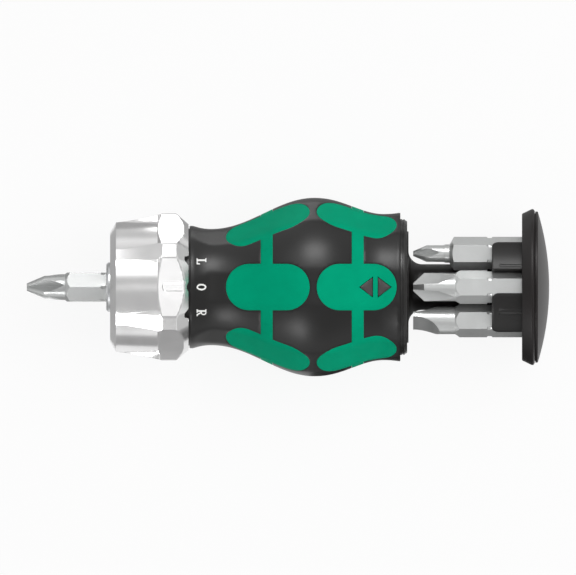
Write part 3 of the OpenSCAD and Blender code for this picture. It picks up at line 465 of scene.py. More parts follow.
def sector_border(xs):
    """The outline of one sector, with points where the strips' edges cross it."""
    strip_edges = []
    for _, strip_x in ZONES:
        for edge in (PAD_SEAM, PAD_SEAM + RIM):
            strip_edges += [strip_x - edge, strip_x + STRIP_W + edge]
    side_xs = sorted(xs + strip_edges)
    between = SECTOR_ANGLES[1:-1]
    border = [(x, SECTOR / 2 * ARC) for x in side_xs]
    border += [(handle_end, a * ARC) for a in between[::-1]]
    border += [(x, -SECTOR / 2 * ARC) for x in side_xs[::-1]]
    border += [(lip_x, a * ARC) for a in between]
    return np.array(border)


def lay_handle_skin(bm):
    """The six sectors of the moulded skin, with a lowered rim round every pocket."""
    xs = [lip_x, lip_x + END_STEP, lip_x + 0.25]
    xs += list(np.linspace(lip_end - 0.12, handle_end - 0.3, 84))
    xs += [handle_end - END_STEP, handle_end]
    border = sector_border(xs)
    edges = [zone_outline(*zone, PAD_SEAM) for zone in ZONES]
    rims = [zone_outline(*zone, PAD_SEAM + RIM) for zone in ZONES]
    seeds = np.array([(x, a * ARC) for x in xs[1:-1] for a in SECTOR_ANGLES[1:-1]])
    verts, faces, owners = paved([*edges, *rims, border], seeds, within(border, edges), 0.13)
    pocket_edges = range(len(edges))
    heights = [-(end_drop(v[0]) or (POCKET_DROP if owner in pocket_edges else 0))
               for v, owner in zip(verts, owners)]
    for number in range(SIDES):
        sector_mesh(bm, number, verts, faces, heights)
    weld(bm)


def make_handle():
    """The moulded skin with its pockets, the collar in front and the chamber behind."""
    bm = bmesh.new()
    lay_handle_skin(bm)

    def ends_at(edge, limit):
        return all(abs(v.co.x - limit) < END_NEAR for v in edge.verts)

    pockets = open_edges(bm, lambda e: not ends_at(e, lip_x) and not ends_at(e, handle_end))
    draw_walls(bm, pockets, lambda r: r - PAD_DEPTH)
    lay_pocket_floors(bm)
    for limit, end_r in ((lip_x, COLLAR_R - 0.05), (handle_end, MOUTH_R)):
        rim = open_edges(bm, lambda e: ends_at(e, limit))
        draw_walls(bm, rim, lambda r: end_r)
    collar_end = lip_x + LAP
    lathe(rounded([(shell_low.x, COLLAR_BORE), (shell_low.x, COLLAR_R, 0.15),
                   (collar_end, COLLAR_R, 0), (collar_end, COLLAR_BORE, 0)], 0.05), bm=bm)
    mouth_x, mouth_end = handle_end - MOUTH_LEN, handle_end - END_NEAR
    lathe([(CHAMBER_X, CHAMBER_R), (mouth_x, CHAMBER_R), (mouth_x, MOUTH_R), (mouth_end, MOUTH_R),
           (mouth_end, MOUTH_OUTER_R), (CHAMBER_X, CHAMBER_OUTER_R)], bm=bm)
    piece("handle_body", bm, "handle_plastic", "handle", ["handle_shell"])


def make_inlay(name, node, zone, cut=False):
    """One soft inlay: six pads joined by a strip, with rounded rims, set in the pockets."""
    bm = bmesh.new()
    pad, strip_x = zone
    edge = zone_outline(pad, strip_x, 0)
    rim = zone_outline(pad, strip_x, -RIM)
    seeds = spread(pad, 0.55)

    def where_strips_meet(point):
        at_side = abs(point[1]) > SECTOR / 2 * ARC - 1e-4
        return at_side and RIM / 2 < point[0] - strip_x < STRIP_W - RIM / 2

    for number in range(SIDES):
        marked = cut and number == 0
        holes = windows(KEY_GAP) if marked else []
        hole_rims = windows(KEY_GAP + 0.6 * RIM) if marked else []
        verts, faces, owners = paved([edge, *holes, rim, *hole_rims], seeds, within(edge, holes), 0.13)
        lowered = range(1 + len(holes))
        heights = [-RIM_DROP if owner in lowered and not where_strips_meet(v) else 0.0
                   for v, owner in zip(verts, owners)]
        sector_mesh(bm, number, verts, faces, heights)
    weld(bm)
    draw_walls(bm, open_edges(bm), lambda r: r - PAD_DEPTH + 0.1)
    piece(name, bm, "grip_rubber", "handle", [node])


def prism(outline, low, high, bevel, bm, place=lambda x, y, z: Vector((x, y, z))):
    """A plate with a bevelled top edge from a flat outline, in its own plane and height."""
    n = len(outline)
    area = sum(outline[i - 1][0] * outline[i][1] - outline[i][0] * outline[i - 1][1] for i in range(n))
    if area < 0:
        outline = outline[::-1]

    def shrunk(amount):
        made = []
        for i in range(n):
            a, p, b = (Vector(outline[j % n]) for j in (i - 1, i, i + 1))
            before, after = (p - a).normalized(), (b - p).normalized()
            normal = Vector((-before.y - after.y, before.x + after.x))
            scale = amount / max(normal.length_squared / 2, 0.15)
            made.append(p + normal * scale)
        return made

    levels = [(0, low), (0, high - bevel), (0.35 * bevel, high - 0.35 * bevel), (bevel, high)]
    loops = [[bm.verts.new(place(p[0], p[1], z)) for p in shrunk(s)] for s, z in levels]
    skin(bm, loops)
    bm.faces.new(loops[-1])
    bm.faces.new(loops[0][::-1])


# Materials
def shader(name):
    made = bpy.data.materials.new(name)
    made.use_nodes = True
    nodes = made.node_tree.nodes
    return made, nodes, nodes["Principled BSDF"]


def join(source, output, target, entry):
    """Links an output of one shader node to an input of another."""
    source.id_data.links.new(source.outputs[output], target.inputs[entry])


def set_inputs(node, **values):
    """Sets inputs by their names, with an underscore for a space, and gives the node back."""
    for name, value in values.items():
        node.inputs[name.replace("_", " ")].default_value = value
    return node


def mottled(nodes, scale, low, high):
    """A colour that wanders between two others over the surface."""
    coords = nodes.new("ShaderNodeTexCoord")
    noise = set_inputs(nodes.new("ShaderNodeTexNoise"), Scale=scale, Detail=3)
    ramp = nodes.new("ShaderNodeValToRGB")
    for stop, place, colour in zip(ramp.color_ramp.elements, (0.3, 0.7), (low, high)):
        stop.position = place
        stop.color = (*colour, 1)
    join(coords, "Object", noise, "Vector")
    join(noise, "Fac", ramp, "Fac")
    return coords, ramp


def grained(nodes, coords, base, scale, depth, stretch=(1, 1, 1)):
    """A fine grain raised on the surface, in metres of depth."""
    mapping = set_inputs(nodes.new("ShaderNodeMapping"), Scale=stretch)
    noise = set_inputs(nodes.new("ShaderNodeTexNoise"), Scale=scale, Detail=2)
    bump = set_inputs(nodes.new("ShaderNodeBump"), Strength=0.5, Distance=depth)
    join(coords, "Object", mapping, "Vector")
    join(mapping, "Vector", noise, "Vector")
    join(noise, "Fac", bump, "Height")
    join(bump, "Normal", base, "Normal")
    return noise


def rough_map(nodes, noise, base, low, high):
    """Roughness that wanders between two values with the grain."""
    ramp = set_inputs(nodes.new("ShaderNodeMapRange"), To_Min=low, To_Max=high)
    join(noise, "Fac", ramp, "Value")
    join(ramp, "Result", base, "Roughness")


def shaded(colour, share):
    return tuple(c * share for c in colour)


def plastic(name, colour, rough, specular, grain=9000, depth=4e-6):
    made, nodes, base = shader(name)
    coords, ramp = mottled(nodes, 260, shaded(colour, 0.96), shaded(colour, 1.04))
    join(ramp, "Color", base, "Base Color")
    set_inputs(base, Specular_IOR_Level=specular)
    noise = grained(nodes, coords, base, grain, depth)
    rough_map(nodes, noise, base, rough - 0.05, rough + 0.05)
    return made


def metal(name, colour, rough, grain=5000, depth=2e-6, stretch=(1, 1, 1), wander=0.06, metallic=1.0):
    made, nodes, base = shader(name)
    coords, ramp = mottled(nodes, 180, shaded(colour, 0.94), shaded(colour, 1.04))
    join(ramp, "Color", base, "Base Color")
    set_inputs(base, Metallic=metallic)
    noise = grained(nodes, coords, base, grain, depth, stretch)
    rough_map(nodes, noise, base, rough - wander, rough + wander)
    return made


# Colour, roughness and specular level of each plastic
PLASTICS = {
    "handle_plastic": dict(colour=(0.006, 0.0057, 0.0055), rough=0.37, specular=0.45),
    "grip_rubber": dict(colour=(0.0, 0.355, 0.19), rough=0.6, specular=0.02, grain=5200, depth=9e-6),
    "bezel_plastic": dict(colour=(0.014, 0.0135, 0.013), rough=0.28, specular=0.5),
    "magazine_plastic": dict(colour=(0.007, 0.0063, 0.006), rough=0.4, specular=0.43),
    "key_plastic": dict(colour=(0.046, 0.041, 0.041), rough=0.4, specular=0.5),
    "cap_plastic": dict(colour=(0.009, 0.007, 0.0068), rough=0.44, specular=0.33),
    "mark_paint": dict(colour=(0.92, 0.92, 0.9), rough=0.5, specular=0.4, depth=2e-6),
}

# Colour and roughness of each metal; a stretched grain is what turning or grinding leaves
METALS = {
    "ring_chrome": dict(colour=(0.8, 0.795, 0.795), rough=0.2, grain=7000, depth=1e-6, wander=0.03),
    "holder_steel": dict(colour=(0.58, 0.59, 0.6), rough=0.28, grain=900, stretch=(14, 1, 1)),
    "bit_steel": dict(colour=(0.58, 0.59, 0.585), rough=0.3, grain=8000, depth=3e-6, metallic=0.66),
    # The bit steel again, painted darker for the bit in the holder: painted shade that tones down the light
    # falling on it
    "driver_bit_steel_painted_shade": dict(colour=(0.525, 0.535, 0.53), rough=0.22, grain=8000, depth=3e-6, metallic=0.66),
    "housing_zinc": dict(colour=(0.45, 0.46, 0.47), rough=0.45, grain=3000, depth=6e-6),
    "dark_steel": dict(colour=(0.13, 0.13, 0.14), rough=0.42),
    "pin_steel": dict(colour=(0.5, 0.51, 0.52), rough=0.25, grain=900, stretch=(12, 1, 1)),
    "spring_steel": dict(colour=(0.4, 0.41, 0.42), rough=0.3),
    "bronze": dict(colour=(0.45, 0.3, 0.12), rough=0.42, grain=4000, depth=5e-6),
    "magnet": dict(colour=(0.4, 0.4, 0.41), rough=0.3),
}

FINISHES = {name: plastic(name, **look) for name, look in PLASTICS.items()}
FINISHES |= {name: metal(name, **look) for name, look in METALS.items()}

for sub in frame["record"]["subparts"]:
    node = frame["nodes"][sub["node"]]
    for material_slot in node.material_slots:
        material_slot.material = FINISHES[sub["material_slot"]]


# Selector ring: a closed skin whose columns follow the flutes' edges
RING_FACE_R = 12.0
RING_EDGE_R = 14.26
RING_EDGE_LEN = 1.27
RING_RISE = 0.475
RING_R = 16.2
NARROW_FLAT = 16.08
WIDE_FLAT = 14.7
RIB_SHARE = 0.991
FORM_ROUND = 0.03
FLUTE_FRONT_R = 14.18
FLUTE_R = 14.56
FLUTE_HALF = (6.0, 5.5)
FLUTE_LEN = 10.35
FLUTE_ROUND = 0.04
FOOT_RISE = 0.05
RIB_DROP = 0.06
RIB_FADE = 0.4
WALL_SLANT = 0.45
BAND_X = 11.44
BAND_END = 14.43
RING_REAR_R = 13.87
RING_BORE_R = 12.85
RING_MOUTH_R = 5.7
RING_WALL = 2.57
SELECTOR_TURN = radians(24)
FLOOR, WALL_FOOT, WALL_TOP, RIB = range(4)
ring_x = ring_low.x
ring_len = ring_high.x - ring_x


def ring_profile(x):
    """Radius of the turned form of the ring at a place behind its front face."""
    if x <= RING_EDGE_LEN:
        return blend(RING_FACE_R, RING_EDGE_R, x / RING_EDGE_LEN)
    if x <= BAND_X:
        t = (x - RING_EDGE_LEN) / (BAND_X - RING_EDGE_LEN)
        return blend(RING_EDGE_R, RING_R, t * blend(RING_RISE, 1, t))
    if x <= BAND_END:
        return RING_R
    return blend(RING_R, RING_REAR_R, (x - BAND_END) / (ring_len - BAND_END))


def ring_outer(x, angle):
    """The ring without its flutes."""
    turned = ring_profile(x)
    wide = WIDE_FLAT / cos(angle)
    narrow = min(NARROW_FLAT, RIB_SHARE * turned) / cos(SECTOR / 2 - abs(angle))
    return smooth_min(smooth_min(wide, narrow, FORM_ROUND), turned, FORM_ROUND)


def flute_floor(x):
    if x <= FLUTE_LEN:
        return blend(FLUTE_FRONT_R, FLUTE_R, x / FLUTE_LEN)
    return blend(FLUTE_R, RING_R, (x - FLUTE_LEN) / (BAND_X - FLUTE_LEN))


def ring_columns():
    """Columns of one sector as (share, kind), with negative shares on the first side.

    The share runs from 0 in the middle of a flute to 1 at its wall and 2 at the sector's edge.
    """
    half = [(t, FLOOR) for t in np.linspace(0, 1, 15)[:-1]]
    half += [(0.98, FLOOR), (0.992, FLOOR), (1.0, WALL_FOOT), (1.0, WALL_TOP)]
    half += [(1 + t, RIB) for t in (0.05, 0.14, 0.3, 0.5, 0.65, 0.8, 1.0)]
    return [(-share, kind) for share, kind in reversed(half[1:])] + half[:-1]


def ring_angle(x, share, kind):
    """Angle of a column: across a flute's floor, or on the rib behind its slanting wall."""
    x = min(x, BAND_X)
    half = blend(*FLUTE_HALF, x / BAND_X)
    outer = ring_outer(x, asin(half / RING_R))
    if kind in (FLOOR, WALL_FOOT):
        return asin(half / outer) * share
    wall = max(0, outer - flute_floor(min(x, FLUTE_LEN)))
    return blend(asin((half + WALL_SLANT * wall) / outer), SECTOR / 2, share - 1)


def ring_point(x, share, kind):
    """Angle and radius of a column at a place along the ring."""
    angle = ring_angle(x, abs(share), kind)
    outer = ring_outer(x, angle)
    signed = angle if share > 0 else -angle
    if x >= BAND_X or kind == RIB:
        return signed, outer
    floor = flute_floor(x)
    if kind == WALL_TOP:
        return signed, outer - RIB_DROP * clamped((outer - floor) / RIB_FADE)
    inner = smooth_min(outer, floor, FLUTE_ROUND)
    return signed, min(outer, inner + FOOT_RISE) if kind == WALL_FOOT else inner


# Notches in the ring's rear edge: how far each reaches to its sides, and how its sides slope
NOTCH_DEPTH = 0.9
NOTCH_OUT, NOTCH_OUT_SLOPE = 1.3, 0.5
NOTCH_IN, NOTCH_IN_SLOPE = 1.0, 0.9
LOCK_NOTCH_DEPTH = 0.4
LOCK_NOTCH_HALF = 0.95


def notch(angle):
    """Depth of the notches at an angle: a shallow one in the middle and two deeper ones."""
    side = angle * RING_REAR_R
    depth = LOCK_NOTCH_DEPTH * clamped((LOCK_NOTCH_HALF - abs(side)) / (LOCK_NOTCH_HALF / 2))
    for sign in (-1, 1):
        off = side * sign - SELECTOR_TURN * RING_REAR_R
        slopes = clamped((NOTCH_OUT - off) / NOTCH_OUT_SLOPE), clamped((NOTCH_IN + off) / NOTCH_IN_SLOPE)
        depth = max(depth, NOTCH_DEPTH * min(slopes))
    return depth


# Length of the ring's tail in which its rows draw back round the notches
NOTCH_ZONE = 1.05


def ring_row(at, place):
    """A row of the ring's skin, with the columns' angles at one place along the axis.

    place() gives a column's place and radius from its angle in its sector, its angle round the
    ring from -pi to pi, and its height.
    """
    made = []
    for number in range(SIDES):
        for share, kind in ring_columns():
            angle, height = ring_point(at, share, kind)
            turned = number * SECTOR + angle
            x, r = place(angle, (turned + pi) % (2 * pi) - pi, height)
            made.append(round_axis(ring_x + x, turned, r))
    return made


def make_ring():
    def outside(x):
        return ring_row(x, lambda angle, turned, height: (x, height))

    def near_end(t, r=None, back=0.0):
        def place(angle, turned, height):
            x = blend(ring_len - NOTCH_ZONE, ring_len - notch(turned), t)
            return x - back, r or ring_outer(x, angle)
        return ring_row(ring_len, place)

    def in_front(x, r):
        return ring_row(0.0, lambda angle, turned, height: (x, r))

    # Rows lie closer together where the form turns
    xs = [0.0, 0.05, 0.4, 0.9, RING_EDGE_LEN - 0.06, RING_EDGE_LEN, RING_EDGE_LEN + 0.06,
          *np.linspace(RING_EDGE_LEN + 0.2, FLUTE_LEN - 0.1, 26),
          *np.linspace(FLUTE_LEN - 0.04, BAND_X + 0.1, 26),
          *np.linspace(BAND_X + 0.2, BAND_END - 0.2, 8),
          BAND_END - 0.05, BAND_END + 0.05,
          *np.linspace(BAND_END + 0.15, ring_len - NOTCH_ZONE, 10)]
    rows = [outside(x) for x in xs]
    rows += [near_end(t) for t in (0.25, 0.5, 0.75, 0.93, 0.97)]
    rows += [near_end(1.0, RING_REAR_R - 0.08), near_end(1.0, RING_BORE_R + 0.05),
             near_end(1.0, RING_BORE_R, back=0.05), in_front(RING_WALL, RING_BORE_R),
             in_front(RING_WALL, RING_MOUTH_R), in_front(0.12, RING_MOUTH_R),
             in_front(0.0, RING_MOUTH_R + 0.12), in_front(0.0, RING_FACE_R - 0.1)]
    piece("ring_skin", grid(rows), "ring_chrome", "selector", ["selector_ring"], sharp=20)


POINTER_HALF = 0.8
POINTER_LEN = 4.3
POINTER_STEPS = ((0.18, -0.3), (0.15, -0.02), (0.03, 0.28), (-0.05, 0.32))


def make_pointer():
    """A low bar with a round nose and a flat top on the ring's band.

    Each of POINTER_STEPS says how far a loop is grown sideways and how it rises over the flat.
    """
    nose = ring_x + BAND_X + POINTER_HALF
    tail = nose + POINTER_LEN - POINTER_HALF
    bm = bmesh.new()
    loops = []
    for grow, rise in POINTER_STEPS:
        reach = POINTER_HALF + grow
        outline = [(nose - reach * sin(t), reach * cos(t)) for t in np.linspace(0, pi, 17)]
        outline += [(tail, -reach), (tail, reach)]
        loops.append([bm.verts.new((x, y, WIDE_FLAT + rise)) for x, y in outline])
    skin(bm, loops)
    bm.faces.new(loops[0])
    bm.faces.new(loops[-1])
    piece("ring_pointer", bm, "ring_chrome", "selector", sharp=15)


# Lettering: the marks of the three settings, printed on the waist
MARK_X = 19.72
MARK_TALL = 2.13
MARK_WIDE = 1.6
MARK_TURN = radians(25.6)
MARK_RISE = 0.02
LETTER_TALL = 2.25
SERIF = 0.25


def mark_shapes():
    """Name, angle and outlines of each mark; a second outline is a hole in the first."""
    top, under = LETTER_TALL, LETTER_TALL - SERIF
    letter_l = [(0.0, 0.0), (1.5, 0.0), (1.5, 0.8), (1.24, 0.8), (1.16, 0.26), (0.68, 0.26),
                (0.68, under), (0.95, under), (0.95, top), (0.0, top), (0.0, under), (0.27, under),
                (0.27, SERIF), (0.0, SERIF)]
    ring = ellipse(0.8, top / 2, 0.72, top / 2, 32)
    hole = ellipse(0.8, top / 2, 0.36, 0.78, 32)
    bowl = [(0.9 + 0.52 * cos(a), 1.62 + 0.63 * sin(a)) for a in np.linspace(pi / 2, -pi / 2, 12)]
    leg = [(1.02, 0.99), (1.42, SERIF), (1.66, SERIF), (1.66, 0.0), (1.18, 0.0), (0.68, 0.93)]
    stem = [(0.62, 0.93), (0.62, SERIF), (0.86, SERIF), (0.86, 0.0), (0.0, 0.0), (0.0, SERIF),
            (0.22, SERIF), (0.22, under), (0.0, under)]
    letter_r = [(0.0, top), *bowl, *leg, *stem]
    arc = [(0.88 + 0.24 * cos(a), 1.62 + 0.38 * sin(a)) for a in np.linspace(-pi / 2, pi / 2, 9)[1:-1]]
    eye = [(0.62, under), (0.62, 1.24), (0.88, 1.24), *arc, (0.88, under)]
    return [("mark_left", MARK_TURN, [letter_l]), ("mark_lock", 0.0, [ring, hole]),
            ("mark_right", -MARK_TURN, [letter_r, eye])]


def make_marks():
    middle_r = handle_r(MARK_X + MARK_TALL / 2)
    seeds = np.array([(u, w) for u in np.arange(0, 1.7, 0.12) for w in np.arange(0, 2.3, 0.12)])
    for name, at, shapes in mark_shapes():
        outlines = [np.array(subdivided(shape, 0.12)) for shape in shapes]
        keep = within(outlines[0], outlines[1:])
        verts, faces, _ = paved(outlines, seeds, keep, clearance=0.06)
        bm = bmesh.new()
        made = []
        for u, w in verts:
            x = MARK_X + w * MARK_TALL / LETTER_TALL
            side = middle_r * sin(at) + (MARK_WIDE / 2 - u) * cos(at)
            angle = asin(side / handle_r(x))
            from_flat = (angle + SECTOR / 2) % SECTOR - SECTOR / 2
            made.append(bm.verts.new(round_axis(x, angle, surface_r(x, from_flat) + MARK_RISE)))
        for f in faces:
            bm.faces.new([made[i] for i in f])
        drop_loose(bm)
        draw_walls(bm, open_edges(bm), lambda r: r - 2 * MARK_RISE)
        piece(name, bm, "mark_paint", "handle")


# Release rocker: an arm on its pin with a hook in front, a round plate and two arrow keys
ROCKER_PIN_X = 50.0
ROCKER_PIN_Z = 15.0
ROCKER_HUB_R = 1.5
ROCKER_HALF = 2.0
ROCKER_BEVEL = 0.05
ARM_Z = 13.5
ARM_THICK = 0.9
HOOK_LEN = 1.65
PLATE_X = 58.3
PLATE_R = 4.2
PLATE_HALF = 3.1
KEY_ROUND = 0.22
KEY_RISE = 0.03


def block(bm, x0, x1, low, high, bevel):
    outline = [(x0, -ROCKER_HALF), (x1, -ROCKER_HALF), (x1, ROCKER_HALF), (x0, ROCKER_HALF)]
    prism(outline, low, high, bevel, bm)


def add_key(bm, shape):
    """An arrow key from the arm to just over the pad, with a softened top edge."""
    outline = subdivided([tuple(p) for p in rounded(shape, KEY_ROUND, 3)], 0.5)
    centre = sum((Vector(p) for p in outline), Vector((0, 0))) / len(outline)

    def top_z(p):
        r = surface_r(p.x, side_angle(p.x, p.y))
        return sqrt(r * r - p.y * p.y) + KEY_RISE

    def loop(shrink, drop):
        points = [Vector(p) + (centre - Vector(p)).normalized() * shrink for p in outline]
        foot = ARM_Z + ARM_THICK - ROCKER_BEVEL
        return [bm.verts.new((p.x, p.y, foot if drop is None else top_z(p) - drop)) for p in points]

    loops = [loop(0.0, None), loop(0.0, 0.12), loop(0.05, 0.04), loop(0.13, 0.0)]
    skin(bm, loops)
    centre_r = surface_r(centre.x, side_angle(centre.x, centre.y))
    middle = bm.verts.new((centre.x, centre.y, centre_r + KEY_RISE))
    rim = loops[-1]
    for i, corner in enumerate(rim):
        bm.faces.new((corner, rim[(i + 1) % len(rim)], middle))


def make_rocker():
    bm = bmesh.new()
    arm_top = ARM_Z + ARM_THICK
    block(bm, rocker_low.x, PLATE_X, ARM_Z, arm_top, ROCKER_BEVEL)
    block(bm, rocker_low.x, rocker_low.x + HOOK_LEN, rocker_low.z, ARM_Z + 0.4, 0.02)
    plate = [(x, max(-PLATE_HALF, min(PLATE_HALF, y))) for x, y in ellipse(PLATE_X, 0, PLATE_R, PLATE_R, 40)]
    prism(plate, ARM_Z, arm_top, ROCKER_BEVEL, bm)
    hub = ellipse(ROCKER_PIN_X, 0, ROCKER_HUB_R, ROCKER_HUB_R, 24)
    prism(hub, -ROCKER_HALF, ROCKER_HALF, ROCKER_BEVEL, bm,
          lambda x, y, z: Vector((x, z, ROCKER_PIN_Z + y)))
    for shape in key_outlines(0):
        add_key(bm, shape)
    piece("rocker_keys", bm, "key_plastic", "rocker", ["release_rocker"], slot="magazine_plastic")


# Turned plastic parts: the bezel, the magazine's post and its cap
SKIRT_R = 14.2
BEZEL_BORE_R = 12.6
FLANGE_R = 13.2
FLANGE_THICK = 1.4
BOSS_R = 12.3
BOSS_LEN = 2.0
BOSS_ROUND = 0.22
POST_R = 5.0
POST_BORE_R = 3.6
POST_BORE_END = 85.95
SCREW_R = 1.25
SCREW_HEAD_R = 2.45
SCREW_HEAD_X = 93.4
FILLET_SHARE = 0.4
CAP_FLOOR_X = 92.1
CAP_FLOOR_R = 12.36
CAP_STEP_LEN = 1.7
CAP_RIM_LEN = 2.81
CAP_WIDEST = 2.14
STEP_R = 16.12
DOME_EDGE_R = 16.5
DOME_R = 56.0
DOME_SEAT = 0.45
GROOVE_W = 0.1


def make_bezel():
    """A ring in the handle's mouth with two fine grooves round it."""
    steps = [(-LAP, 0.0, 0.05), (0.42, 0.0, 0.08), (0.46, 0.16, 0.03), (0.6, 0.16, 0.03),
             (0.64, 0.04, 0.08), (1.02, 0.1, 0.08), (1.08, 0.3, 0.04), (1.2, 0.32, 0.04)]
    seat_r = CHAMBER_R + LAP
    outline = [(bezel_low.x, seat_r), (bezel_low.x, SKIRT_R), (handle_end - LAP, SKIRT_R)]
    outline += [(handle_end + x, bezel_high.y - drop, r) for x, drop, r in steps]
    outline += [(bezel_high.x, bezel_high.y - 0.5, 0.12), (bezel_high.x, BEZEL_BORE_R, 0.15),
                (handle_end, BEZEL_BORE_R), (handle_end, seat_r)]
    piece("bezel_trim", lathe(rounded(outline, 0.04)), "bezel_plastic", "handle", ["bezel_ring"])


def make_core():
    """The magazine's flange, boss, fillet and bored post."""
    flange_x = core_low.x
    flange_end = flange_x + FLANGE_THICK
    boss_end = flange_end + BOSS_LEN
    fillet = FILLET_SHARE * (BOSS_R - POST_R)
    outline = rounded([(flange_x, POST_BORE_R), (flange_x, FLANGE_R), (flange_end, FLANGE_R),
                       (flange_end, BOSS_R, 0.05)], 0.15)
    shoulder = rounded([(flange_end, BOSS_R - 1), (boss_end, BOSS_R, BOSS_ROUND), (boss_end, POST_R)], 0.0)
    outline += shoulder[1:-1]
    outline += [(boss_end + fillet * (1 - cos(a)), POST_R + fillet * (1 - sin(a)))
                for a in np.linspace(0, pi / 2, 14)]
    outline += [(core_high.x, POST_R), (core_high.x, SCREW_R), (POST_BORE_END, SCREW_R),
                (POST_BORE_END, POST_BORE_R)]
    piece("magazine_post", lathe(outline), "magazine_plastic", "magazine", ["magazine_core"])


def make_cap():
    """The cap's rim and, behind a fine groove, its domed cover."""
    x0 = cap_low.x
    cap_r = cap_high.y
    rim_r = bezel_high.y + 0.25
    step_x = x0 + CAP_STEP_LEN
    end = x0 + CAP_RIM_LEN
    outline = rounded([
        (CAP_FLOOR_X, CAP_FLOOR_R), (step_x, CAP_FLOOR_R), (step_x, rim_r), (x0, rim_r, 0.1),
        (x0, rim_r + 0.9, 0.35), (x0 + CAP_WIDEST, cap_r - 0.04, 0.6), (x0 + 2.55, cap_r - 0.06, 0.3),
        (end, cap_r - 0.52, 0.12), (end, STEP_R, 0.03), (end + 0.4, STEP_R), (end + 0.4, SCREW_HEAD_R),
        (SCREW_HEAD_X, SCREW_HEAD_R), (SCREW_HEAD_X, SCREW_R), (CAP_FLOOR_X, SCREW_R)], 0.05)
    piece("cap_rim", lathe(outline), "cap_plastic", "magazine", ["end_cap"])
    groove_end = end + GROOVE_W
    brim = asin(DOME_EDGE_R / DOME_R)
    brim_x = cover_high.x - DOME_R * (1 - cos(brim))
    dome = [(cover_high.x - DOME_R * (1 - cos(a)), DOME_R * sin(a))
            for a in np.linspace(brim - 0.1 / DOME_R, 0.0, 24)]
    outline = [(end + DOME_SEAT, 0.0), (end + DOME_SEAT, STEP_R), (groove_end, STEP_R),
               (groove_end, DOME_EDGE_R - 0.1), (groove_end + 0.03, DOME_EDGE_R - 0.03),
               (groove_end + 0.1, DOME_EDGE_R), (brim_x - 0.08, DOME_EDGE_R), *dome]
    piece("cap_dome", lathe(outline), "cap_plastic", "magazine", ["cap_cover"])


# Clip arms between the stored bits
CLIP_LEN = 6.56
ARM_LEN = 7.86
CLIP_BORE_R = 5.25
CLIP_END = 92.0
BIT_CIRCLE_R = 8.44
BIT_HOLE = (6.35 + 0.3) / 2
BIT_CORNER = 2 * BIT_HOLE / sqrt(3)
HOLE_REACH = np.arctan(BIT_CORNER / BIT_CIRCLE_R)
ARM_SPREAD = radians(23.7)
FREE_SPREAD = radians(11.4)
ARM_CORNER = 1.5
FREE_CORNER = 0.4
ARM_SOFT = 0.1
RIB_FROM_FRONT = 1.66
RIB_RISE = 0.14
RIBS = (radians(1.8), radians(7.2))
FREE_RIBS = (radians(-7.8),)
RIB_HALF = radians(1.5)
RIB_SIDE = radians(0.5)


def clip_inner_r(angle):
    """Radius above which a clip arm is solid: the bore, or the far side of a bit's hole."""
    off = (angle + SECTOR / 2) % SECTOR - SECTOR / 2
    if abs(off) > HOLE_REACH:
        return CLIP_BORE_R
    return min((BIT_CIRCLE_R + BIT_HOLE) / cos(off), (BIT_HOLE + BIT_CIRCLE_R / 2) / cos(SECTOR - abs(off)))


def arm_angles(depth, free):
    """Angles across an arm at a depth behind its front, where its corners are rounded."""
    def inset(corner):
        rest = max(corner - depth, 0)
        return (corner - sqrt(corner * corner - rest * rest)) / BOSS_R

    step = SECTOR / 2 - HOLE_REACH
    low = inset(FREE_CORNER) - FREE_SPREAD if free else inset(ARM_CORNER) - ARM_SPREAD
    high = ARM_SPREAD - inset(ARM_CORNER)
    return [*np.linspace(low, -step - 0.001, 12), *np.linspace(-step + 0.001, step - 0.001, 25),
            *np.linspace(step + 0.001, high, 12)]


def clip_arm(bm, middle, free):
    """One arm with rounded front corners, thin lips over its bits and ribs along it."""
    front = cap_low.x - CLIP_LEN
    ribs = FREE_RIBS if free else RIBS
    loops = []
    for depth in (0.0, 0.06, 0.2, 0.45, 0.8, 1.15, 1.5, RIB_FROM_FRONT, RIB_FROM_FRONT + 0.12, 3.5, ARM_LEN):
        angles = arm_angles(depth, free)
        softened = 0.12 * max(0, 1 - depth / 0.2)
        outer, inner = [], []
        for angle in angles:
            rise = 0.0
            if depth > RIB_FROM_FRONT:
                rise = max(RIB_RISE * clamped((RIB_HALF - abs(angle - rib)) / RIB_SIDE) for rib in ribs)
            edge = ARM_SOFT if angle in (angles[0], angles[-1]) else 0
            outer.append(round_axis(front + depth, middle + angle, BOSS_R - softened - edge + rise))
            inner.append(round_axis(front + depth, middle + angle, clip_inner_r(middle + angle)))
        loops.append([bm.verts.new(p) for p in outer + inner[::-1]])
    skin(bm, loops)
    n = len(loops[0])
    for loop in (loops[0], loops[-1]):
        for i in range(n // 2 - 1):
            bm.faces.new((loop[i], loop[i + 1], loop[n - 2 - i], loop[n - 1 - i]))


def make_clips():
    """Four sprung arms on a disc that holds the ends of the bits."""
    bm = bmesh.new()
    for middle, free in ((150, False), (330, False), (30, True), (210, True)):
        clip_arm(bm, radians(middle), free)
    turns = np.linspace(0, 2 * pi, 121)[:-1]
    outlines = [np.array([(r * sin(a), r * cos(a)) for a in turns]) for r in (BOSS_R, CLIP_BORE_R)]
    for k in range(SIDES):
        middle = k * SECTOR
        ways = [middle + SECTOR * (j + 0.5) for j in range(SIDES)]
        outlines.append(np.array([
            (BIT_CIRCLE_R * sin(middle) + BIT_CORNER * sin(way),
             BIT_CIRCLE_R * cos(middle) + BIT_CORNER * cos(way)) for way in ways]))
    keep = within(outlines[0], outlines[1:])
    verts, faces, _ = paved(outlines, np.array([(0.0, 0.0)]), keep, clearance=0.1)
    for x, order in ((cap_low.x + LAP, 1), (CLIP_END, -1)):
        made = [bm.verts.new((x, y, z)) for y, z in verts]
        for f in faces:
            bm.faces.new([made[i] for i in f[::order]])
    drop_loose(bm)
    piece("clip_arms", bm, "magazine_plastic", "magazine", ["bit_clips"])


# Springs, and pieces that keep the form of their CAD node
COIL_WIRE = 0.106


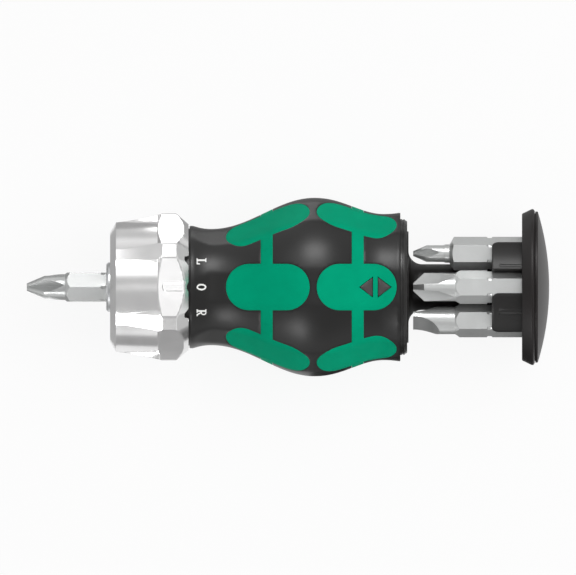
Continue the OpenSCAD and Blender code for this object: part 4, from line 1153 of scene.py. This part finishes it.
def make_coil(node, name, axis, turns):
    """A wound spring in its CAD node's box."""
    low, high = corners(node)
    side, other = [k for k in range(3) if k != axis]
    outer = (high[side] - low[side]) / 2
    wire = COIL_WIRE * outer
    middle = (low + high) / 2
    length = high[axis] - low[axis]
    bm = bmesh.new()
    loops = []
    for t in np.linspace(0, 1, turns * 16 + 1):
        turn = 2 * pi * turns * t
        loop = []
        for around in np.linspace(0, 2 * pi, 9)[:-1]:
            r = outer - wire + wire * cos(around)
            place = Vector()
            place[axis] = low[axis] + wire + (length - 2 * wire) * t + wire * sin(around)
            place[side] = middle[side] + r * cos(turn)
            place[other] = middle[other] + r * sin(turn)
            loop.append(bm.verts.new(place))
        loops.append(loop)
    skin(bm, loops)
    bm.faces.new(loops[0])
    bm.faces.new(loops[-1])
    made = piece(name, bm, "spring_steel", "handle", [node], sharp=60)
    along = Vector()
    along[axis] = 1
    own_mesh(made)


def refined(node, name, finish, body, slot=None):
    """A copy of a CAD node with its flat faces joined and its edges softly bevelled."""
    bm = bmesh.new()
    bm.from_mesh(frame["nodes"][node].data)
    bm.transform(Matrix.Scale(1 / MM, 4))
    weld(bm)
    bmesh.ops.dissolve_limit(bm, angle_limit=radians(1), verts=bm.verts, edges=bm.edges)
    made = piece(name, bm, finish, body, [node], sharp=30, slot=slot)
    bevel = made.modifiers.new("soft_edges", "BEVEL")
    bevel.width = 0.06 * MM
    bevel.segments = 2
    bevel.limit_method = "ANGLE"
    bevel.angle_limit = radians(25)
    bevel.use_clamp_overlap = True
    flats = made.modifiers.new("true_flats", "WEIGHTED_NORMAL")
    flats.weight = 100
    flats.keep_sharp = True


make_handle()
make_inlay("front_pads", "front_grip_inlay", ZONES[0])
make_inlay("rear_pads", "rear_grip_inlay", ZONES[1], cut=True)
make_ring()
make_pointer()
make_marks()
make_rocker()
make_bezel()
make_core()
make_cap()
make_clips()
for bit in ("small_cross", "large_cross", "slotted", "fine_cross", "star"):
    refined(f"bit_{bit}", f"{bit}_point", "bit_steel", f"{bit}_bit")
# The driver bit wears the bit steel painted darker, as painted shade
refined("driver_bit", "driver_point", "driver_bit_steel_painted_shade", "driver_bit", slot="bit_steel")
refined("bit_holder", "holder_barrel", "holder_steel", "spindle")
make_coil("popout_spring", "popout_coil", 0, 20)
make_coil("rocker_spring", "rocker_coil", 2, 5)

# Camera: straight down on the marked side, with parallel rays
PHOTO_WIDE = 576
PX_PER_MM = 4.58
AXIS_PX = (106.3, 287.07)
FRAME_MIDDLE_PX = (288.0, 287.5)
lens = bpy.data.cameras.new("photo_camera")
lens.type = "ORTHO"
lens.ortho_scale = PHOTO_WIDE / PX_PER_MM * MM
camera = placed("photo_camera", lens)
camera.location = (
    (FRAME_MIDDLE_PX[0] - AXIS_PX[0]) / PX_PER_MM * MM,
    (AXIS_PX[1] - FRAME_MIDDLE_PX[1]) / PX_PER_MM * MM,
    0.5,
)
bpy.context.scene.camera = camera


def softbox(name, angle, distance, wide, tall, radiance, along=0.04, tilt=0, seen=True):
    """A soft light at an angle from +Z towards +Y, tilted along X, aimed at the axis.

    It is either seen in reflections, or lights what has a colour of its own.
    """
    light = bpy.data.lights.new(name, "AREA")
    light.shape = "RECTANGLE"
    light.size = wide
    light.size_y = tall
    light.energy = radiance * pi * wide * tall
    made = placed(name, light)
    reach = distance * cos(radians(tilt))
    aim = Vector((along, 0, 0))
    made.location = aim + Vector((
        distance * sin(radians(tilt)), reach * sin(radians(angle)), reach * cos(radians(angle))))
    made.rotation_euler = (made.location - aim).to_track_quat("Z", "Y").to_euler()
    made.visible_camera = False
    made.visible_glossy = seen
    made.visible_diffuse = not seen


# The first two make the glows on the dark handle and the next two the bright flats of the metal
softbox("upper_softbox", angle=46.6, distance=0.55, wide=0.24, tall=0.17, radiance=8.0)
softbox("front_softbox", angle=-58, distance=0.5, wide=0.17, tall=0.16, radiance=6.0, along=0.032, tilt=-20)
softbox("wide_softbox", angle=39, distance=0.9, wide=1.1, tall=0.62, radiance=1.0, tilt=-6)
softbox("top_softbox", angle=0, distance=0.9, wide=0.17, tall=0.15, radiance=1.12, along=0.058)
softbox("fill_softbox", angle=8, distance=0.9, wide=0.9, tall=0.7, radiance=2.55, tilt=25, seen=False)


def plane(name, low, high, z, material):
    """A level rectangle between two corners in millimetres, which isn't part of the object."""
    mesh = bpy.data.meshes.new(name)
    (x0, y0), (x1, y1) = low, high
    points = [(x0, y0), (x1, y0), (x1, y1), (x0, y1)]
    mesh.from_pydata([(x * MM, y * MM, z * MM) for x, y in points], [], [(0, 1, 2, 3)])
    made = placed(name, mesh)
    mesh.materials.append(material)
    return made


def add_card(name, low, high, shade, lift=0.1):
    """A card just over the floor that only reflections see, as a flag in a photo studio."""
    made, nodes, _ = shader(name)
    _, ramp = mottled(nodes, 4, (1.0, 1.0, 1.0), (0.96, 0.96, 0.96))
    glow = set_inputs(nodes.new("ShaderNodeEmission"), Strength=shade)
    join(ramp, "Color", glow, "Color")
    join(glow, "Emission", nodes["Material Output"], "Surface")
    card = plane(name, low, high, floor_z + lift, made)
    card.visible_camera = card.visible_diffuse = card.visible_shadow = False


def seen_directly(nodes):
    """A node that gives 1 for camera, glossy and transmission rays, which see the white background."""
    path = nodes.new("ShaderNodeLightPath")
    seen, output = path, "Is Camera Ray"
    for kind in ("Is Glossy Ray", "Is Transmission Ray"):
        either = nodes.new("ShaderNodeMath")
        either.operation = "MAXIMUM"
        join(seen, output, either, 0)
        join(path, kind, either, 1)
        seen, output = either, 0
    return seen


def mixed(nodes, share, first, second, output):
    """Sends a mix of two shaders to the output, where a third node gives the share of the second."""
    mix = nodes.new("ShaderNodeMixShader")
    for entry, source in enumerate((share, first, second)):
        join(source, 0, mix, entry)
    join(mix, "Shader", nodes[output], "Surface")


FLOOR_HALF = 3000.0
WHITE_SHARE = 0.9
ROOM_LEVEL = 0.48
HORIZON = 0.05
CEILING = 0.45
CEILING_LEVEL = 0.56
floor_z = cad_box[0][2] / MM - 0.2


def make_floor():
    """A white floor that keeps the object's shadow."""
    made, nodes, base = shader("floor_white")
    _, ramp = mottled(nodes, 4, (0.86, 0.86, 0.86), (0.88, 0.88, 0.88))
    join(ramp, "Color", base, "Base Color")
    set_inputs(base, Roughness=0.9, Specular_IOR_Level=0.1)
    glow = set_inputs(nodes.new("ShaderNodeEmission"), Strength=1.0)
    share = nodes.new("ShaderNodeMath")
    share.operation = "MULTIPLY"
    share.inputs[1].default_value = WHITE_SHARE
    join(seen_directly(nodes), 0, share, 0)
    mixed(nodes, share, base, glow, "Material Output")
    plane("studio_floor", (-FLOOR_HALF, -FLOOR_HALF), (FLOOR_HALF, FLOOR_HALF), floor_z, made)


def make_world():
    """A pale room: white at the horizon with a darker ceiling, and a plain level of light."""
    world = bpy.data.worlds.new("studio")
    bpy.context.scene.world = world
    world.use_nodes = True
    nodes = world.node_tree.nodes
    level = set_inputs(nodes["Background"], Color=(1, 1, 1, 1), Strength=ROOM_LEVEL)
    coords = nodes.new("ShaderNodeTexCoord")
    split = nodes.new("ShaderNodeSeparateXYZ")
    height = set_inputs(nodes.new("ShaderNodeMapRange"), From_Min=HORIZON, From_Max=CEILING,
                        To_Min=1.0, To_Max=CEILING_LEVEL)
    room = nodes.new("ShaderNodeBackground")
    join(coords, "Generated", split, "Vector")
    join(split, "Z", height, "Value")
    join(height, "Result", room, "Color")
    mixed(nodes, seen_directly(nodes), level, room, "World Output")


add_card("lower_card", (-150, -420), (260, -48), 0.4)
add_card("bit_low_card", (62, -60), (100, -22), 0.08, lift=0.14)
add_card("blade_card", (44, -47), (62, -22), 0.08, lift=0.14)
add_card("front_card", (-460, -160), (-6, 160), 0.47, lift=0.14)
add_card("upper_near_card", (-6, 18), (260, 48), 0.42)
add_card("upper_flute_card", (-6, 72), (22, 420), 0.66)
add_card("upper_side_card", (-6, 48), (8, 72), 0.66)
add_card("upper_far_card", (22, 72), (260, 420), 0.3)
add_card("upper_kicker", (8, 48), (50, 70), 3.0, lift=0.2)
make_floor()
make_world()
bpy.context.scene.view_settings.view_transform = "Standard"
